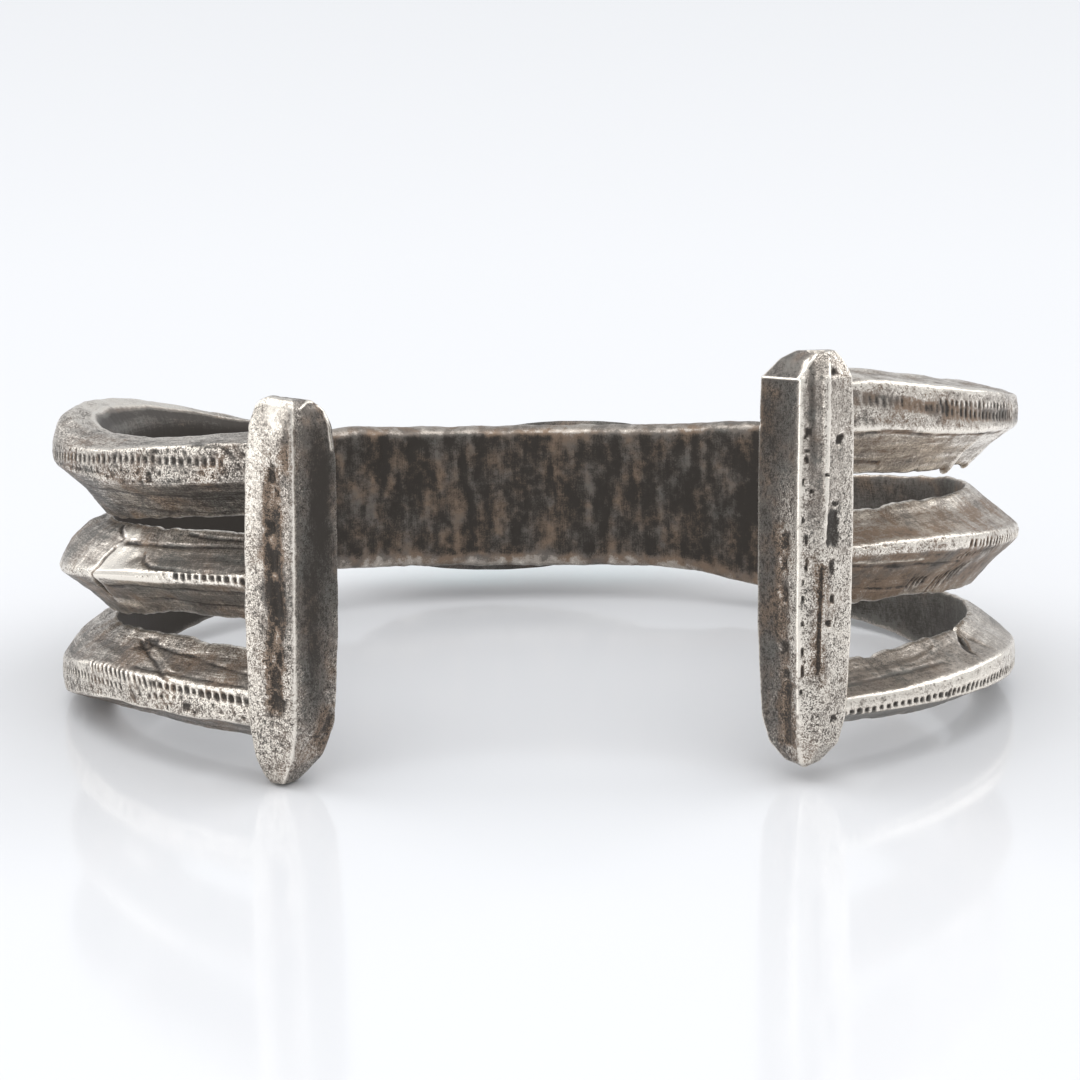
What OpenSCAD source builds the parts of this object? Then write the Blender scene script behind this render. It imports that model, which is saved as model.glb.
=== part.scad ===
// A heavy hand-made silver cuff bracelet with one oval turquoise.
// Three ridged bands leave a plain front plate on each side, curve round the wrist
// and end in two upright bars, with a gap between the bars.
// The cuff is drawn level, with its axis along Z and the gap towards -Y, and is then
// tipped and lifted to the way that it rests on a table by itself.

/* [Wrist hollow] */
// Half of the hollow's width, from side to side
hollow_half_w = 27.3; // [26:0.1:28.5]
// Half of the hollow's depth, from the front plate to the gap
hollow_half_d = 20.7; // [20:0.1:21.5]

/* [Bands] */
// Depth of a band, from its inner face to its ridge
band_depth = 3.4; // [2.8:0.1:3.8]
// Thickness of a band's worn upper and lower edges
edge_thickness = 0.45; // [0.3:0.05:0.8]
// How far a band's flanks are hollowed between edge and ridge
flank_hollow = 0.22; // [0:0.02:0.4]
// Height of the rounding between the inner face and an edge
inner_round = 0.5; // [0.2:0.1:0.8]

/* [Front plate] */
// Thickness of the plate
plate_thickness = 2.1; // [1.9:0.1:2.5]
// First and last place of the plate on the ellipse, in degrees
plate_from = 54; // [52:1:58]
plate_to = 125; // [121:1:127]
// Thickness of the webs where the plate ends between the bands
web_thickness = 0.8; // [0.5:0.1:1.2]
// Angle over which the plate thins to a web
web_span = 9; // [6:1:12]

/* [End bars] */
// Angles at which the bands end inside the right and the left bar
right_end = -60; // [-61:0.5:-58]
left_end = 241; // [239:0.5:242]
// Forward lean of the bars, top towards the front of the bars, in degrees
bar_lean = 4; // [0:0.5:6]
// Lean of the bars to the right, in degrees
bar_roll = 1.4; // [0:0.1:2]

/* [Setting] */
// Length and height of the bezel's outline
bezel_length = 26; // [22:0.5:27]
bezel_height = 9.6; // [8:0.2:10]
// Thickness of the bezel's wall
bezel_wall = 0.7; // [0.5:0.1:1]
// Turn of the setting on the plate, in degrees
bezel_turn = 5; // [0:0.5:10]
// Place of the setting's middle on the plate, sideways and up
bezel_middle = [-0.3, 0.4];
// How far the stone's seat and the bezel's rim stand off the inner face
seat_offset = 2.5; // [2.3:0.05:2.8]
rim_offset = 4.5; // [4.2:0.1:5]
// Height of the stone's girdle and of its dome
girdle_height = 1.8; // [1.4:0.1:2]
dome_height = 2.1; // [1.2:0.1:2.6]
// Clearance between the stone and the silver round it
stone_clearance = 0.1; // [0.08:0.01:0.2]

/* [Resting place] */
// Tip of the whole cuff about X, far side down, in degrees
rest_pitch = 8.9; // [0:0.1:14]
// Roll of the whole cuff about Y, right side up, in degrees
rest_roll = 0.8; // [0:0.1:3]
// Shift that brings the resting cuff over the origin and onto Z = 0
rest_shift = [0.22, -2.17, 9.91];

/* [Hidden] */

// Angle between neighbouring sections, and the reach of the smoothing between them
station_step = 4.5;
smooth_span = 4;

// A band's section: rounding of its edges and ridge, the places at which its upper
// flank bends, how much of the hollow is left at the second bend, and the way in
// which the upper flank swells, outwards and up
edge_round = 0.05;
ridge_round = 0.08;
edge_chamfer = 0.1;
first_bend = 0.33;
second_bend = 0.7;
second_hollow = 0.8;
swell_way = [0.6, 0.8];

// The plate's section: how far it covers the bands' edges, and its rounding
plate_cover = 0.1;
plate_edge_round = 0.15;
plate_corner = 0.3;
plate_fall = 0.2;
plate_shoulder = 0.25;

// Solder between a bar and a band: angle before the band's end, radius and depth of
// its blobs, how far they stay from the band's edges, and its foot on the bar
solder_angle = 3;
solder_r = 1.15;
solder_depth = 1.3;
solder_margin = 0.9;
solder_foot = 0.6;
solder_foot_r = 0.8;
solder_sides = 12;

// Thickness of the slices that a bar is hulled over
slice = 0.02;

// The setting: how far behind the plate's middle the bezel may reach round the
// plate's curve, how deep in the plate it starts, the bevel at the stone's foot, the
// dome's steps and crown, and the sides of the hollow, of the bezel and of the stone
bezel_reach = 4;
bezel_root = 0.6;
foot_bevel = 0.15;
foot_scale = 0.97;
dome_step = 15;
crown_angle = 86;
inside_sides = 120;
bezel_sides = 64;
stone_sides = 48;

// Columns of the band tables: angle on the ellipse, height of the upper edge,
// upper and lower side of the ridge, lower edge, depth added at the ridge,
// set-back of the upper edge, and swell of the upper flank
UPPER_EDGE = 1;
RIDGE_TOP = 2;
RIDGE_BOTTOM = 3;
LOWER_EDGE = 4;
ADDED_DEPTH = 5;
SET_BACK = 6;
SWELL = 7;
UPPER_BAND = [
    [-60, 11.1, 10.4, 8.1, 5.1, 0.0, 0.0, 0.0],
    [-52, 11.6, 10.9, 8.0, 5.0, 0.0, 0.0, 0.0],
    [-46, 11.5, 10.7, 7.8, 4.9, 0.0, 0.0, 0.0],
    [-30, 10.5, 9.7, 7.0, 4.5, 0.0, 0.0, 0.0],
    [-15, 9.8, 8.9, 6.7, 4.2, 0.0, 0.0, 0.1],
    [0, 9.2, 8.3, 6.6, 4.0, 0.2, 0.0, 0.2],
    [15, 8.7, 7.8, 6.2, 3.9, 0.0, 0.0, 0.1],
    [30, 8.1, 7.1, 5.5, 3.6, 0.0, 0.0, 0.0],
    [45, 7.1, 6.1, 4.5, 2.9, 0.0, 0.0, 0.0],
    [57, 5.7, 4.9, 3.6, 1.9, -0.2, 0.0, 0.0],
    [66, 5.1, 4.2, 3.1, 1.4, -0.7, 0.0, 0.0],
    [76, 5.0, 3.9, 2.9, 1.2, -1.5, 0.0, 0.0],
    [104, 5.2, 4.0, 2.9, 1.2, -1.5, 0.0, 0.0],
    [114, 5.4, 4.3, 3.2, 1.4, -0.7, 0.0, 0.0],
    [124, 5.9, 4.9, 3.7, 2.0, -0.2, 0.0, 0.3],
    [135, 6.7, 5.7, 4.3, 2.6, 0.0, 0.2, 0.7],
    [146, 7.8, 6.6, 5.0, 2.9, 0.1, 0.4, 1.0],
    [158, 8.6, 7.2, 5.6, 2.9, 0.3, 0.7, 1.1],
    [170, 8.8, 7.2, 5.8, 2.6, 0.4, 1.0, 1.1],
    [184, 8.5, 7.0, 5.9, 2.3, 0.5, 1.0, 0.9],
    [197, 7.9, 6.9, 5.7, 2.4, 0.3, 0.6, 0.4],
    [210, 7.8, 6.9, 5.3, 2.7, 0.1, 0.2, 0.1],
    [228, 8.4, 7.2, 5.8, 3.3, 0.0, 0.0, 0.0],
    [241, 8.7, 7.4, 6.1, 3.5, 0.0, 0.0, 0.0]
];
MIDDLE_BAND = [
    [-60, 2.6, 0.7, 0.2, -2.9, 0.0, 0.0, 0.0],
    [-46, 2.7, 0.9, 0.2, -3.0, 0.0, 0.0, 0.0],
    [-34, 2.9, 0.8, -0.1, -3.1, 0.0, 0.0, 0.0],
    [-21, 2.8, 0.5, -0.4, -3.3, 0.0, 0.0, 0.0],
    [-8, 2.8, 0.2, -0.6, -3.5, 0.1, 0.0, 0.1],
    [8, 2.8, 0.1, -0.6, -3.4, 0.1, 0.0, 0.1],
    [27, 2.4, 0.1, -0.4, -3.1, 0.0, 0.0, 0.0],
    [39, 2.2, 0.2, -0.3, -2.7, 0.0, 0.0, 0.0],
    [50, 1.7, 0.3, -0.2, -2.1, 0.0, 0.0, 0.0],
    [60, 1.5, 0.4, -0.1, -1.7, -0.2, 0.0, 0.0],
    [70, 1.3, 0.4, -0.1, -1.5, -0.8, 0.0, 0.0],
    [90, 1.3, 0.3, -0.1, -1.5, -1.5, 0.0, 0.0],
    [110, 1.4, 0.2, -0.3, -1.6, -0.8, 0.0, 0.0],
    [120, 1.6, 0.2, -0.3, -1.8, -0.2, 0.0, 0.0],
    [130, 1.9, 0.1, -0.5, -2.4, 0.0, 0.0, 0.1],
    [146, 2.1, -0.2, -0.8, -3.0, 0.0, 0.0, 0.3],
    [165, 2.1, -0.6, -1.1, -3.6, 0.1, 0.0, 0.6],
    [184, 2.1, -0.7, -1.2, -3.8, 0.3, 0.0, 0.7],
    [194, 2.1, -0.6, -1.1, -3.7, 0.3, 0.0, 0.5],
    [205, 2.2, -0.4, -0.9, -3.4, 0.0, 0.0, 0.1],
    [214, 2.4, -0.1, -0.8, -3.0, 0.0, 0.0, 0.0],
    [228, 2.3, 0.1, -0.6, -3.0, 0.0, 0.0, 0.0],
    [241, 2.3, 0.0, -0.7, -3.1, 0.0, 0.0, 0.0]
];
LOWER_BAND = [
    [-60, -6.6, -8.4, -9.4, -10.2, 0.0, 0.0, 0.0],
    [-46, -6.4, -8.3, -9.4, -10.3, 0.0, 0.0, 0.0],
    [-34, -6.0, -7.9, -9.3, -10.4, 0.0, 0.0, 0.0],
    [-21, -5.8, -7.4, -9.1, -10.3, 0.0, 0.0, 0.0],
    [-8, -5.4, -7.3, -8.9, -10.1, -0.2, 0.0, 0.1],
    [6, -5.0, -7.2, -8.6, -9.9, -0.3, 0.0, 0.2],
    [16, -5.0, -6.8, -8.2, -9.5, 0.0, 0.0, 0.1],
    [28, -5.1, -6.4, -7.6, -8.6, 0.0, 0.0, 0.0],
    [40, -4.4, -5.6, -6.7, -7.6, 0.0, 0.0, 0.0],
    [50, -3.2, -4.5, -5.7, -6.8, 0.0, 0.0, 0.0],
    [60, -1.9, -3.2, -4.4, -5.8, -0.2, 0.0, 0.0],
    [67, -1.7, -2.8, -3.8, -4.8, -0.8, 0.0, 0.0],
    [76, -1.6, -2.7, -3.6, -4.5, -1.5, 0.0, 0.0],
    [104, -1.6, -2.7, -3.5, -4.2, -1.5, 0.0, 0.0],
    [113, -1.7, -2.6, -3.4, -4.0, -0.8, 0.0, 0.0],
    [121, -1.9, -2.8, -3.6, -4.1, -0.2, 0.0, 0.0],
    [132, -2.7, -3.7, -4.6, -5.2, 0.0, 0.0, 0.1],
    [144, -3.4, -4.6, -5.6, -6.4, 0.0, 0.0, 0.2],
    [154, -3.8, -5.2, -6.3, -7.1, 0.0, 0.0, 0.3],
    [166, -4.2, -6.1, -7.7, -8.7, 0.1, 0.0, 0.5],
    [180, -4.3, -6.9, -8.7, -9.7, 0.3, 0.0, 0.5],
    [191, -4.4, -6.8, -8.8, -9.8, 0.3, 0.0, 0.3],
    [202, -4.4, -6.3, -8.4, -9.6, 0.0, 0.0, 0.0],
    [212, -4.3, -6.5, -8.4, -9.7, 0.0, 0.0, 0.0],
    [228, -4.7, -6.9, -8.9, -10.2, 0.0, 0.0, 0.0],
    [241, -4.9, -7.0, -9.1, -10.4, 0.0, 0.0, 0.0]
];

// Corners of a bar's section, in the level cuff: X and Y, from the gap side round
// the front to the back
RIGHT_BAR = [[13.1, -18.9], [15.4, -22.2], [17.0, -22.3], [18.85, -20.4], [18.4, -18.5], [13.4, -18.2]];
LEFT_BAR = [[-12.2, -18.9], [-14.7, -22.1], [-15.0, -22.15], [-17.8, -20.3], [-17.4, -18.5], [-12.5, -18.2]];
// Columns of the bar tables: height, shift sideways, and how wide and how deep
// the section is there
HEIGHT = 0;
SHIFT = 1;
WIDE = 2;
DEEP = 3;
RIGHT_ROWS = [
    [-12.4, -0.1, 0.10, 0.3], [-12.1, -0.1, 0.36, 0.5], [-11.0, 0, 0.72, 0.78], [-9.4, 0, 0.88, 0.95],
    [-4.0, 0, 0.98, 1.0], [4.0, 0, 1.0, 1.0], [9.5, 0, 0.98, 1.0], [11.3, 0, 0.95, 0.98],
    [12.4, 0.2, 0.66, 0.7], [12.9, 0.4, 0.4, 0.5]
];
LEFT_ROWS = [
    [-12.7, -0.6, 0.10, 0.3], [-12.3, -0.5, 0.28, 0.5], [-11.1, -0.2, 0.66, 0.75], [-9.2, 0, 0.9, 0.95],
    [-4.0, 0, 1.0, 1.0], [2.0, 0, 1.0, 1.0], [7.0, 0, 0.96, 1.0], [9.2, 0, 0.84, 0.92],
    [10.4, 0, 0.64, 0.7], [10.8, 0, 0.42, 0.5]
];
// Point on which each bar narrows, in X and Y
RIGHT_CORE = [16.1, -19.9];
LEFT_CORE = [-15.0, -19.9];

// A table's column at an angle, smoothed over neighbouring angles
function column(table, c) = [for (row = table) [row[0], row[c]]];
function value(table, c, t) =
    let (points = column(table, c), near = [t - smooth_span, t, t, t + smooth_span])
    [for (u = near) lookup(u, points)] * [1, 1, 1, 1] / len(near);

// Point at an angle, a distance outside the inner face and a height
function wall_point(t, d, z) = [(hollow_half_w + d) * cos(t), (hollow_half_d + d) * sin(t), z];

// A point part of the way from one corner to another, moved off the straight line
function flank_point(a, b, part, off) = a + (b - a) * part + off;

// A band's section at an angle, as distance and height pairs
function band_section(table, t) =
    let (top = value(table, UPPER_EDGE, t), bottom = value(table, LOWER_EDGE, t))
    let (high = value(table, RIDGE_TOP, t), low = value(table, RIDGE_BOTTOM, t))
    let (ridge = band_depth + value(table, ADDED_DEPTH, t), back = value(table, SET_BACK, t))
    let (swell = swell_way * value(table, SWELL, t), hollow = [-flank_hollow, 0])
    let (top_edge = [back + edge_thickness, top - edge_round])
    let (bottom_edge = [edge_thickness, bottom + edge_round])
    let (high_side = [ridge - ridge_round, high], low_side = [ridge - ridge_round, low])
    [
        [0, bottom + inner_round],
        [0, top - inner_round - back],
        [back + edge_chamfer, top],
        top_edge,
        flank_point(top_edge, high_side, first_bend, hollow + swell),
        flank_point(top_edge, high_side, second_bend, hollow * second_hollow + swell),
        high_side,
        [ridge, (high + low) / 2],
        low_side,
        flank_point(low_side, bottom_edge, 0.5, hollow),
        bottom_edge,
        [edge_chamfer, bottom]
    ];

// Thickness of the plate at an angle
function plate_depth(t) =
    let (part = min(t - plate_from, plate_to - t, web_span) / web_span)
    web_thickness + (plate_thickness - web_thickness) * part;

// The plate's section at an angle, worn round along its inner edges
function plate_section(t) =
    let (top = value(UPPER_BAND, UPPER_EDGE, t) + plate_cover)
    let (bottom = value(LOWER_BAND, LOWER_EDGE, t) - plate_cover)
    let (depth = plate_depth(t), corner = depth * plate_corner, fall = depth * plate_fall)
    let (shoulder = depth * plate_shoulder)
    [
        [0, bottom + inner_round],
        [0, top - inner_round],
        [shoulder, top - plate_edge_round],
        [depth - corner, top],
        [depth, top - fall],
        [depth, bottom + fall],
        [depth - corner, bottom],
        [shoulder, bottom + plate_edge_round]
    ];

// Stations from one angle to another, evenly spaced and near the wanted step
function stations(a, b) =
    let (n = ceil((b - a) / station_step))
    [for (i = [0:n]) a + (b - a) * i / n];

// Closed skin over rings of points, each with the same number of points
module skin(rings) {
    n = len(rings[0]);
    last = len(rings) - 1;
    polyhedron(
        points = [for (ring = rings) each ring],
        faces = [
            [for (i = [0:n - 1]) i],
            for (k = [0:last - 1], i = [0:n - 1])
                [k * n + i, (k + 1) * n + i, (k + 1) * n + (i + 1) % n, k * n + (i + 1) % n],
            [for (i = [n - 1:-1:0]) last * n + i]
        ],
        convexity = 8
    );
}

module band(table) {
    skin([
        for (t = stations(right_end, left_end))
            [for (p = band_section(table, t)) wall_point(t, p[0], p[1])]
    ]);
}

module front_plate() {
    skin([
        for (t = stations(plate_from, plate_to))
            [for (p = plate_section(t)) wall_point(t, p[0], p[1])]
    ]);
}

// One level of an end bar: its section narrowed about its core, as a thin slice
module bar_slice(section, core, row) {
    middle = core + [row[SHIFT], 0] + row[HEIGHT] * [tan(bar_roll), -tan(bar_lean)];
    translate([middle.x, middle.y, row[HEIGHT]])
        scale([row[WIDE], row[DEEP], 1])
            linear_extrude(height = slice, center = true)
                polygon([for (p = section) p - core]);
}

// An end bar, as one hull over all its levels
module end_bar(section, core, rows) {
    hull()
        for (row = rows)
            bar_slice(section, core, row);
}

// Solder that runs from the back of a bar onto the inner face of a band
module solder(table, t, core) {
    top = value(table, UPPER_EDGE, t);
    bottom = value(table, LOWER_EDGE, t);
    middle = (top + bottom) / 2;
    half = (top - bottom) / 2 - solder_margin;
    hull() {
        for (side = [-1, 1])
            translate(wall_point(t, solder_depth, middle + side * half))
                sphere(r = solder_r, $fn = solder_sides);
        translate([core.x, core.y + solder_foot, middle])
            cylinder(r = solder_foot_r, h = half, center = true, $fn = solder_sides);
    }
}

// The bezel's outline, grown or shrunk all round
module bezel_outline(grow) {
    resize([bezel_length + 2 * grow, bezel_height + 2 * grow])
        circle(d = bezel_length, $fn = bezel_sides);
}

// Moves an outline's extrusion to the outside of the plate, from a given offset
module on_plate(offset) {
    translate([bezel_middle.x, hollow_half_d + offset, bezel_middle.y])
        rotate([-90, 0, 0])
            rotate(-bezel_turn)
                children();
}

// The room inside a wall of the cuff, from its axis out to a depth in the wall
module inside(depth) {
    linear_extrude(height = 2 * bezel_height, center = true)
        resize(2 * [hollow_half_w + depth, hollow_half_d + depth])
            circle(d = hollow_half_w, $fn = inside_sides);
}

// The bezel's foot follows the plate's curve
module bezel() {
    difference() {
        on_plate(-bezel_reach)
            linear_extrude(height = rim_offset + bezel_reach)
                bezel_outline(0);
        on_plate(seat_offset)
            linear_extrude(height = rim_offset)
                bezel_outline(-bezel_wall);
        inside(bezel_root);
    }
}

// Moves the level cuff to its resting place
module at_rest() {
    translate(rest_shift)
        rotate([-rest_pitch, 0, 0])
            rotate([0, -rest_roll, 0])
                children();
}

module silver_cuff() {
    color("#6b6561")
        at_rest() {
            band(UPPER_BAND);
            band(MIDDLE_BAND);
            band(LOWER_BAND);
            front_plate();
            end_bar(RIGHT_BAR, RIGHT_CORE, RIGHT_ROWS);
            end_bar(LEFT_BAR, LEFT_CORE, LEFT_ROWS);
            for (table = [UPPER_BAND, MIDDLE_BAND, LOWER_BAND]) {
                solder(table, right_end + solder_angle, RIGHT_CORE);
                solder(table, left_end - solder_angle, LEFT_CORE);
            }
            bezel();
        }
}

// The stone's rings, as height and scale pairs, from its foot to the crown
function stone_rings() = [
    [0, foot_scale],
    [foot_bevel, 1],
    [girdle_height, 1],
    for (a = [dome_step:dome_step:90 - dome_step]) [girdle_height + dome_height * sin(a), cos(a)],
    [girdle_height + dome_height * sin(crown_angle), cos(crown_angle)]
];

module turquoise_stone() {
    grow = -bezel_wall - stone_clearance;
    half = [bezel_length / 2 + grow, bezel_height / 2 + grow];
    color("#2fa7a3")
        at_rest()
            on_plate(seat_offset + stone_clearance)
                skin([
                    for (ring = stone_rings())
                        [
                            for (i = [0:stone_sides - 1], a = 360 / stone_sides * i)
                                [half.x * ring[1] * cos(a), half.y * ring[1] * sin(a), ring[0]]
                        ]
                ]);
}

silver_cuff();
turquoise_stone();
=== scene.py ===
"""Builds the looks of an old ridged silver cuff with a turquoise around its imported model."""

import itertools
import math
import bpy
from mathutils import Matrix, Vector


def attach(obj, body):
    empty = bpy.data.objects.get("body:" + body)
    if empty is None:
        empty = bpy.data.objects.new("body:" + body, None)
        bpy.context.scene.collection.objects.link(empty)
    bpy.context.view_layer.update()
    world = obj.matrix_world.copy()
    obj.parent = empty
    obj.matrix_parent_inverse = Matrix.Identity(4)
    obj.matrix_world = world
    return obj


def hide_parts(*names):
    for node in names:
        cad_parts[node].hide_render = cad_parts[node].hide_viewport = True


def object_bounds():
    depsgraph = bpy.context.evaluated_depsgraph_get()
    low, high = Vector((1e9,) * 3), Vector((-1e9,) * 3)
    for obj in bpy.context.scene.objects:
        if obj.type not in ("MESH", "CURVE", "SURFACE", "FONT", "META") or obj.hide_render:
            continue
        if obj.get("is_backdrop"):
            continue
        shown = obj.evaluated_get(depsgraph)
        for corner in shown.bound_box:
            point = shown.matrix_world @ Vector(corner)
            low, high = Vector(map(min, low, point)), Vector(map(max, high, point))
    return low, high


bl_info = {
    "name": "Turquoise Cuff Bracelet",
    "version": (1, 0, 0),
    "blender": (4, 5, 0),
    "location": "View3D > Sidebar > Cuff",
    "description": "Builds an old hand-made silver cuff with an oval turquoise, lying on a table",
    "category": "Add Mesh",
}

from collections import namedtuple

import bmesh
import bpy
import numpy as np
from mathutils import Matrix, Vector

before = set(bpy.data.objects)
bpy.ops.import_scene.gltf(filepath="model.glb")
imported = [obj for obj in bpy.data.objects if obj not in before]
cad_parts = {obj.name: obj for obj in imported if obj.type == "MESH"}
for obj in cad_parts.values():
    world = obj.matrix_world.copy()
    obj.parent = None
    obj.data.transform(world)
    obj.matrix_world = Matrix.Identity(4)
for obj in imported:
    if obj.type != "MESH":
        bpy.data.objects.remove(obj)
CAD_LOW, CAD_HIGH = (Vector(corner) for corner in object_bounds())

# Lengths in this file are millimetres, as in the CAD model, and angles are degrees,
# unless a line says otherwise. Meshes are brought to metres when they are made.
MM = 0.001

# The cuff's shape, drawn level: its axis is Z and the gap between its bars faces -Y.
# An angle is the ellipse's own: 0 is the right side, 90 the front plate, 180 the left
# side, and the gap is between 241 and 300. Sizes are smoothed over a few degrees
# either way, and lengths run round the middle of the wall, a depth off its inner face.
RIGHT_END, LEFT_END = -60, 241
SMOOTH_SPAN, WALL_MIDDLE = 4, 2.5

# How the cuff lies at rest, turned and moved from level
REST_PITCH, REST_ROLL = 8.9, 0.8
REST_SHIFT = (0.22, -2.17, 9.91)

# What the columns of a band's table hold: an angle, heights of its top edge, of both edges
# of its land and of its bottom edge, what is added to its depth, how far its top edge is
# set back and how far its top flank swells
COLUMNS = ("angle", "top", "ridge_top", "ridge_bottom", "bottom", "added_depth", "set_back", "swell")


def band_table(*rows):
    """A band's heights and depths round the cuff. A row may leave out last columns that are 0."""
    return np.array([row + (0,) * (len(COLUMNS) - len(row)) for row in rows], float)


UPPER_TABLE = band_table(
    (-60, 11.1, 10.4, 8.1, 5.1),
    (-52, 11.6, 10.9, 8, 5),
    (-46, 11.5, 10.7, 7.8, 4.9),
    (-30, 10.5, 9.7, 7, 4.5),
    (-15, 9.8, 8.9, 6.7, 4.2, 0, 0, 0.1),
    (0, 9.2, 8.3, 6.6, 4, 0.2, 0, 0.2),
    (15, 8.7, 7.8, 6.2, 3.9, 0, 0, 0.1),
    (30, 8.1, 7.1, 5.5, 3.6),
    (45, 7.1, 6.1, 4.5, 2.9),
    (57, 5.7, 4.9, 3.6, 1.9, -0.2),
    (66, 5.1, 4.2, 3.1, 1.4, -0.7),
    (76, 5, 3.9, 2.9, 1.2, -1.5),
    (104, 5.2, 4, 2.9, 1.2, -1.5),
    (114, 5.4, 4.3, 3.2, 1.4, -0.7),
    (124, 5.9, 4.9, 3.7, 2, -0.2, 0, 0.3),
    (135, 6.7, 5.7, 4.3, 2.6, 0, 0.2, 0.7),
    (146, 7.8, 6.6, 5, 2.9, 0.1, 0.4, 1),
    (158, 8.6, 7.2, 5.6, 2.9, 0.3, 0.7, 1.1),
    (170, 8.8, 7.2, 5.8, 2.6, 0.4, 1, 1.1),
    (184, 8.5, 7, 5.9, 2.3, 0.5, 1, 0.9),
    (197, 7.9, 7.05, 5.65, 2.4, 0.3, 0.6, 0.4),
    (210, 7.8, 7.2, 5.15, 2.7, 0.1, 0.2, 0.1),
    (228, 8.4, 7.9, 5.5, 3.3),
    (241, 8.7, 8.25, 6.05, 3.5),
)
MIDDLE_TABLE = band_table(
    (-60, 2.6, 0.7, 0.2, -2.9),
    (-46, 2.7, 0.9, 0.2, -3),
    (-34, 2.9, 0.8, -0.1, -3.1),
    (-21, 2.8, 0.5, -0.4, -3.3),
    (-8, 2.8, 0.2, -0.6, -3.5, 0.1, 0, 0.1),
    (8, 2.8, 0.1, -0.6, -3.4, 0.1, 0, 0.1),
    (27, 2.4, 0.1, -0.4, -3.1),
    (39, 2.2, 0.2, -0.3, -2.7),
    (50, 1.7, 0.3, -0.2, -2.1),
    (60, 1.5, 0.4, -0.1, -1.7, -0.2),
    (70, 1.3, 0.4, -0.1, -1.5, -0.8),
    (90, 1.3, 0.3, -0.1, -1.5, -1.5),
    (110, 1.4, 0.2, -0.3, -1.6, -0.8),
    (120, 1.6, 0.2, -0.3, -1.8, -0.2),
    (130, 1.9, 0.1, -0.5, -2.4, 0, 0, 0.1),
    (146, 2.1, -0.2, -0.8, -3, 0, 0, 0.3),
    (165, 2.1, -0.6, -1.1, -3.6, 0.1, 0, 0.6),
    (184, 2.1, -0.7, -1.2, -3.8, 0.3, 0, 0.7),
    (194, 2.1, -0.6, -1.1, -3.7, 0.3, 0, 0.5),
    (205, 2.2, -0.4, -0.9, -3.4, 0, 0, 0.1),
    (214, 2.4, -0.1, -0.8, -3),
    (228, 2.3, 0.1, -0.6, -3),
    (241, 2.3, 0, -0.7, -3.1),
)
LOWER_TABLE = band_table(
    (-60, -6.6, -8.4, -9.4, -10.2),
    (-46, -6.4, -8.3, -9.4, -10.3),
    (-34, -6, -7.9, -9.3, -10.4),
    (-21, -5.8, -7.4, -9.1, -10.3),
    (-8, -5.4, -7.3, -8.9, -10.1, -0.2, 0, 0.1),
    (6, -5, -7.2, -8.6, -9.9, -0.3, 0, 0.2),
    (16, -5, -6.8, -8.2, -9.5, 0, 0, 0.1),
    (28, -5.1, -6.4, -7.6, -8.6),
    (40, -4.4, -5.6, -6.7, -7.6),
    (50, -3.2, -4.5, -5.7, -6.8),
    (60, -1.9, -3.2, -4.4, -5.8, -0.2),
    (67, -1.7, -2.8, -3.8, -4.8, -0.8),
    (76, -1.6, -2.7, -3.6, -4.5, -1.5),
    (104, -1.6, -2.7, -3.5, -4.2, -1.5),
    (113, -1.7, -2.6, -3.4, -4, -0.8),
    (121, -1.9, -2.8, -3.6, -4.1, -0.2),
    (132, -2.7, -3.7, -4.6, -5.2, 0, 0, 0.1),
    (144, -3.4, -4.6, -5.6, -6.4, 0, 0, 0.2),
    (154, -3.8, -5.2, -6.3, -7.1, 0, 0, 0.3),
    (166, -4.2, -6.1, -7.7, -8.7, 0.1, 0, 0.5),
    (180, -4.3, -6.9, -8.7, -9.7, 0.3, 0, 0.5),
    (191, -4.4, -6.8, -8.8, -9.8, 0.3, 0, 0.3),
    (202, -4.4, -6.3, -8.4, -9.6),
    (212, -4.3, -6.5, -8.4, -9.7),
    (228, -4.7, -6.9, -8.9, -10.2),
    (241, -4.9, -7, -9.1, -10.4),
)

# Marks is a row of small punched marks: the places that it runs through, how tall and
# wide a mark is, the distance from one to the next, how deep they are and how far
# they lean. Line is a groove, or a raised line if its depth is negative. Spot is a place
# with a tarnish of its own, sunk where it has a depth. Notch is a bit broken off an edge,
# or one that stands out if its depth is negative. Side says how speckled and how brown a
# band is on one side of the cuff, how much darker its top flank, its low flank and its
# land, the strip along its ridge, are there, and how strongly its flanks are brushed.
# Rag is how uneven a band's top and bottom edges are. Tarnish goes from 0, polished, to
# 1, black.
Marks = namedtuple("Marks", "angles heights tall wide pitch deep lean", defaults=(0,))
Line = namedtuple("Line", "angles heights wide deep tarnish")
Spot = namedtuple("Spot", "angle height long tall deep tarnish")
Notch = namedtuple("Notch", "angle wide deep")
Side = namedtuple("Side", "speckle brown top low land brushed")
Band = namedtuple("Band", "name table marks lines spots top_notches bottom_notches rag right left seed")

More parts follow.
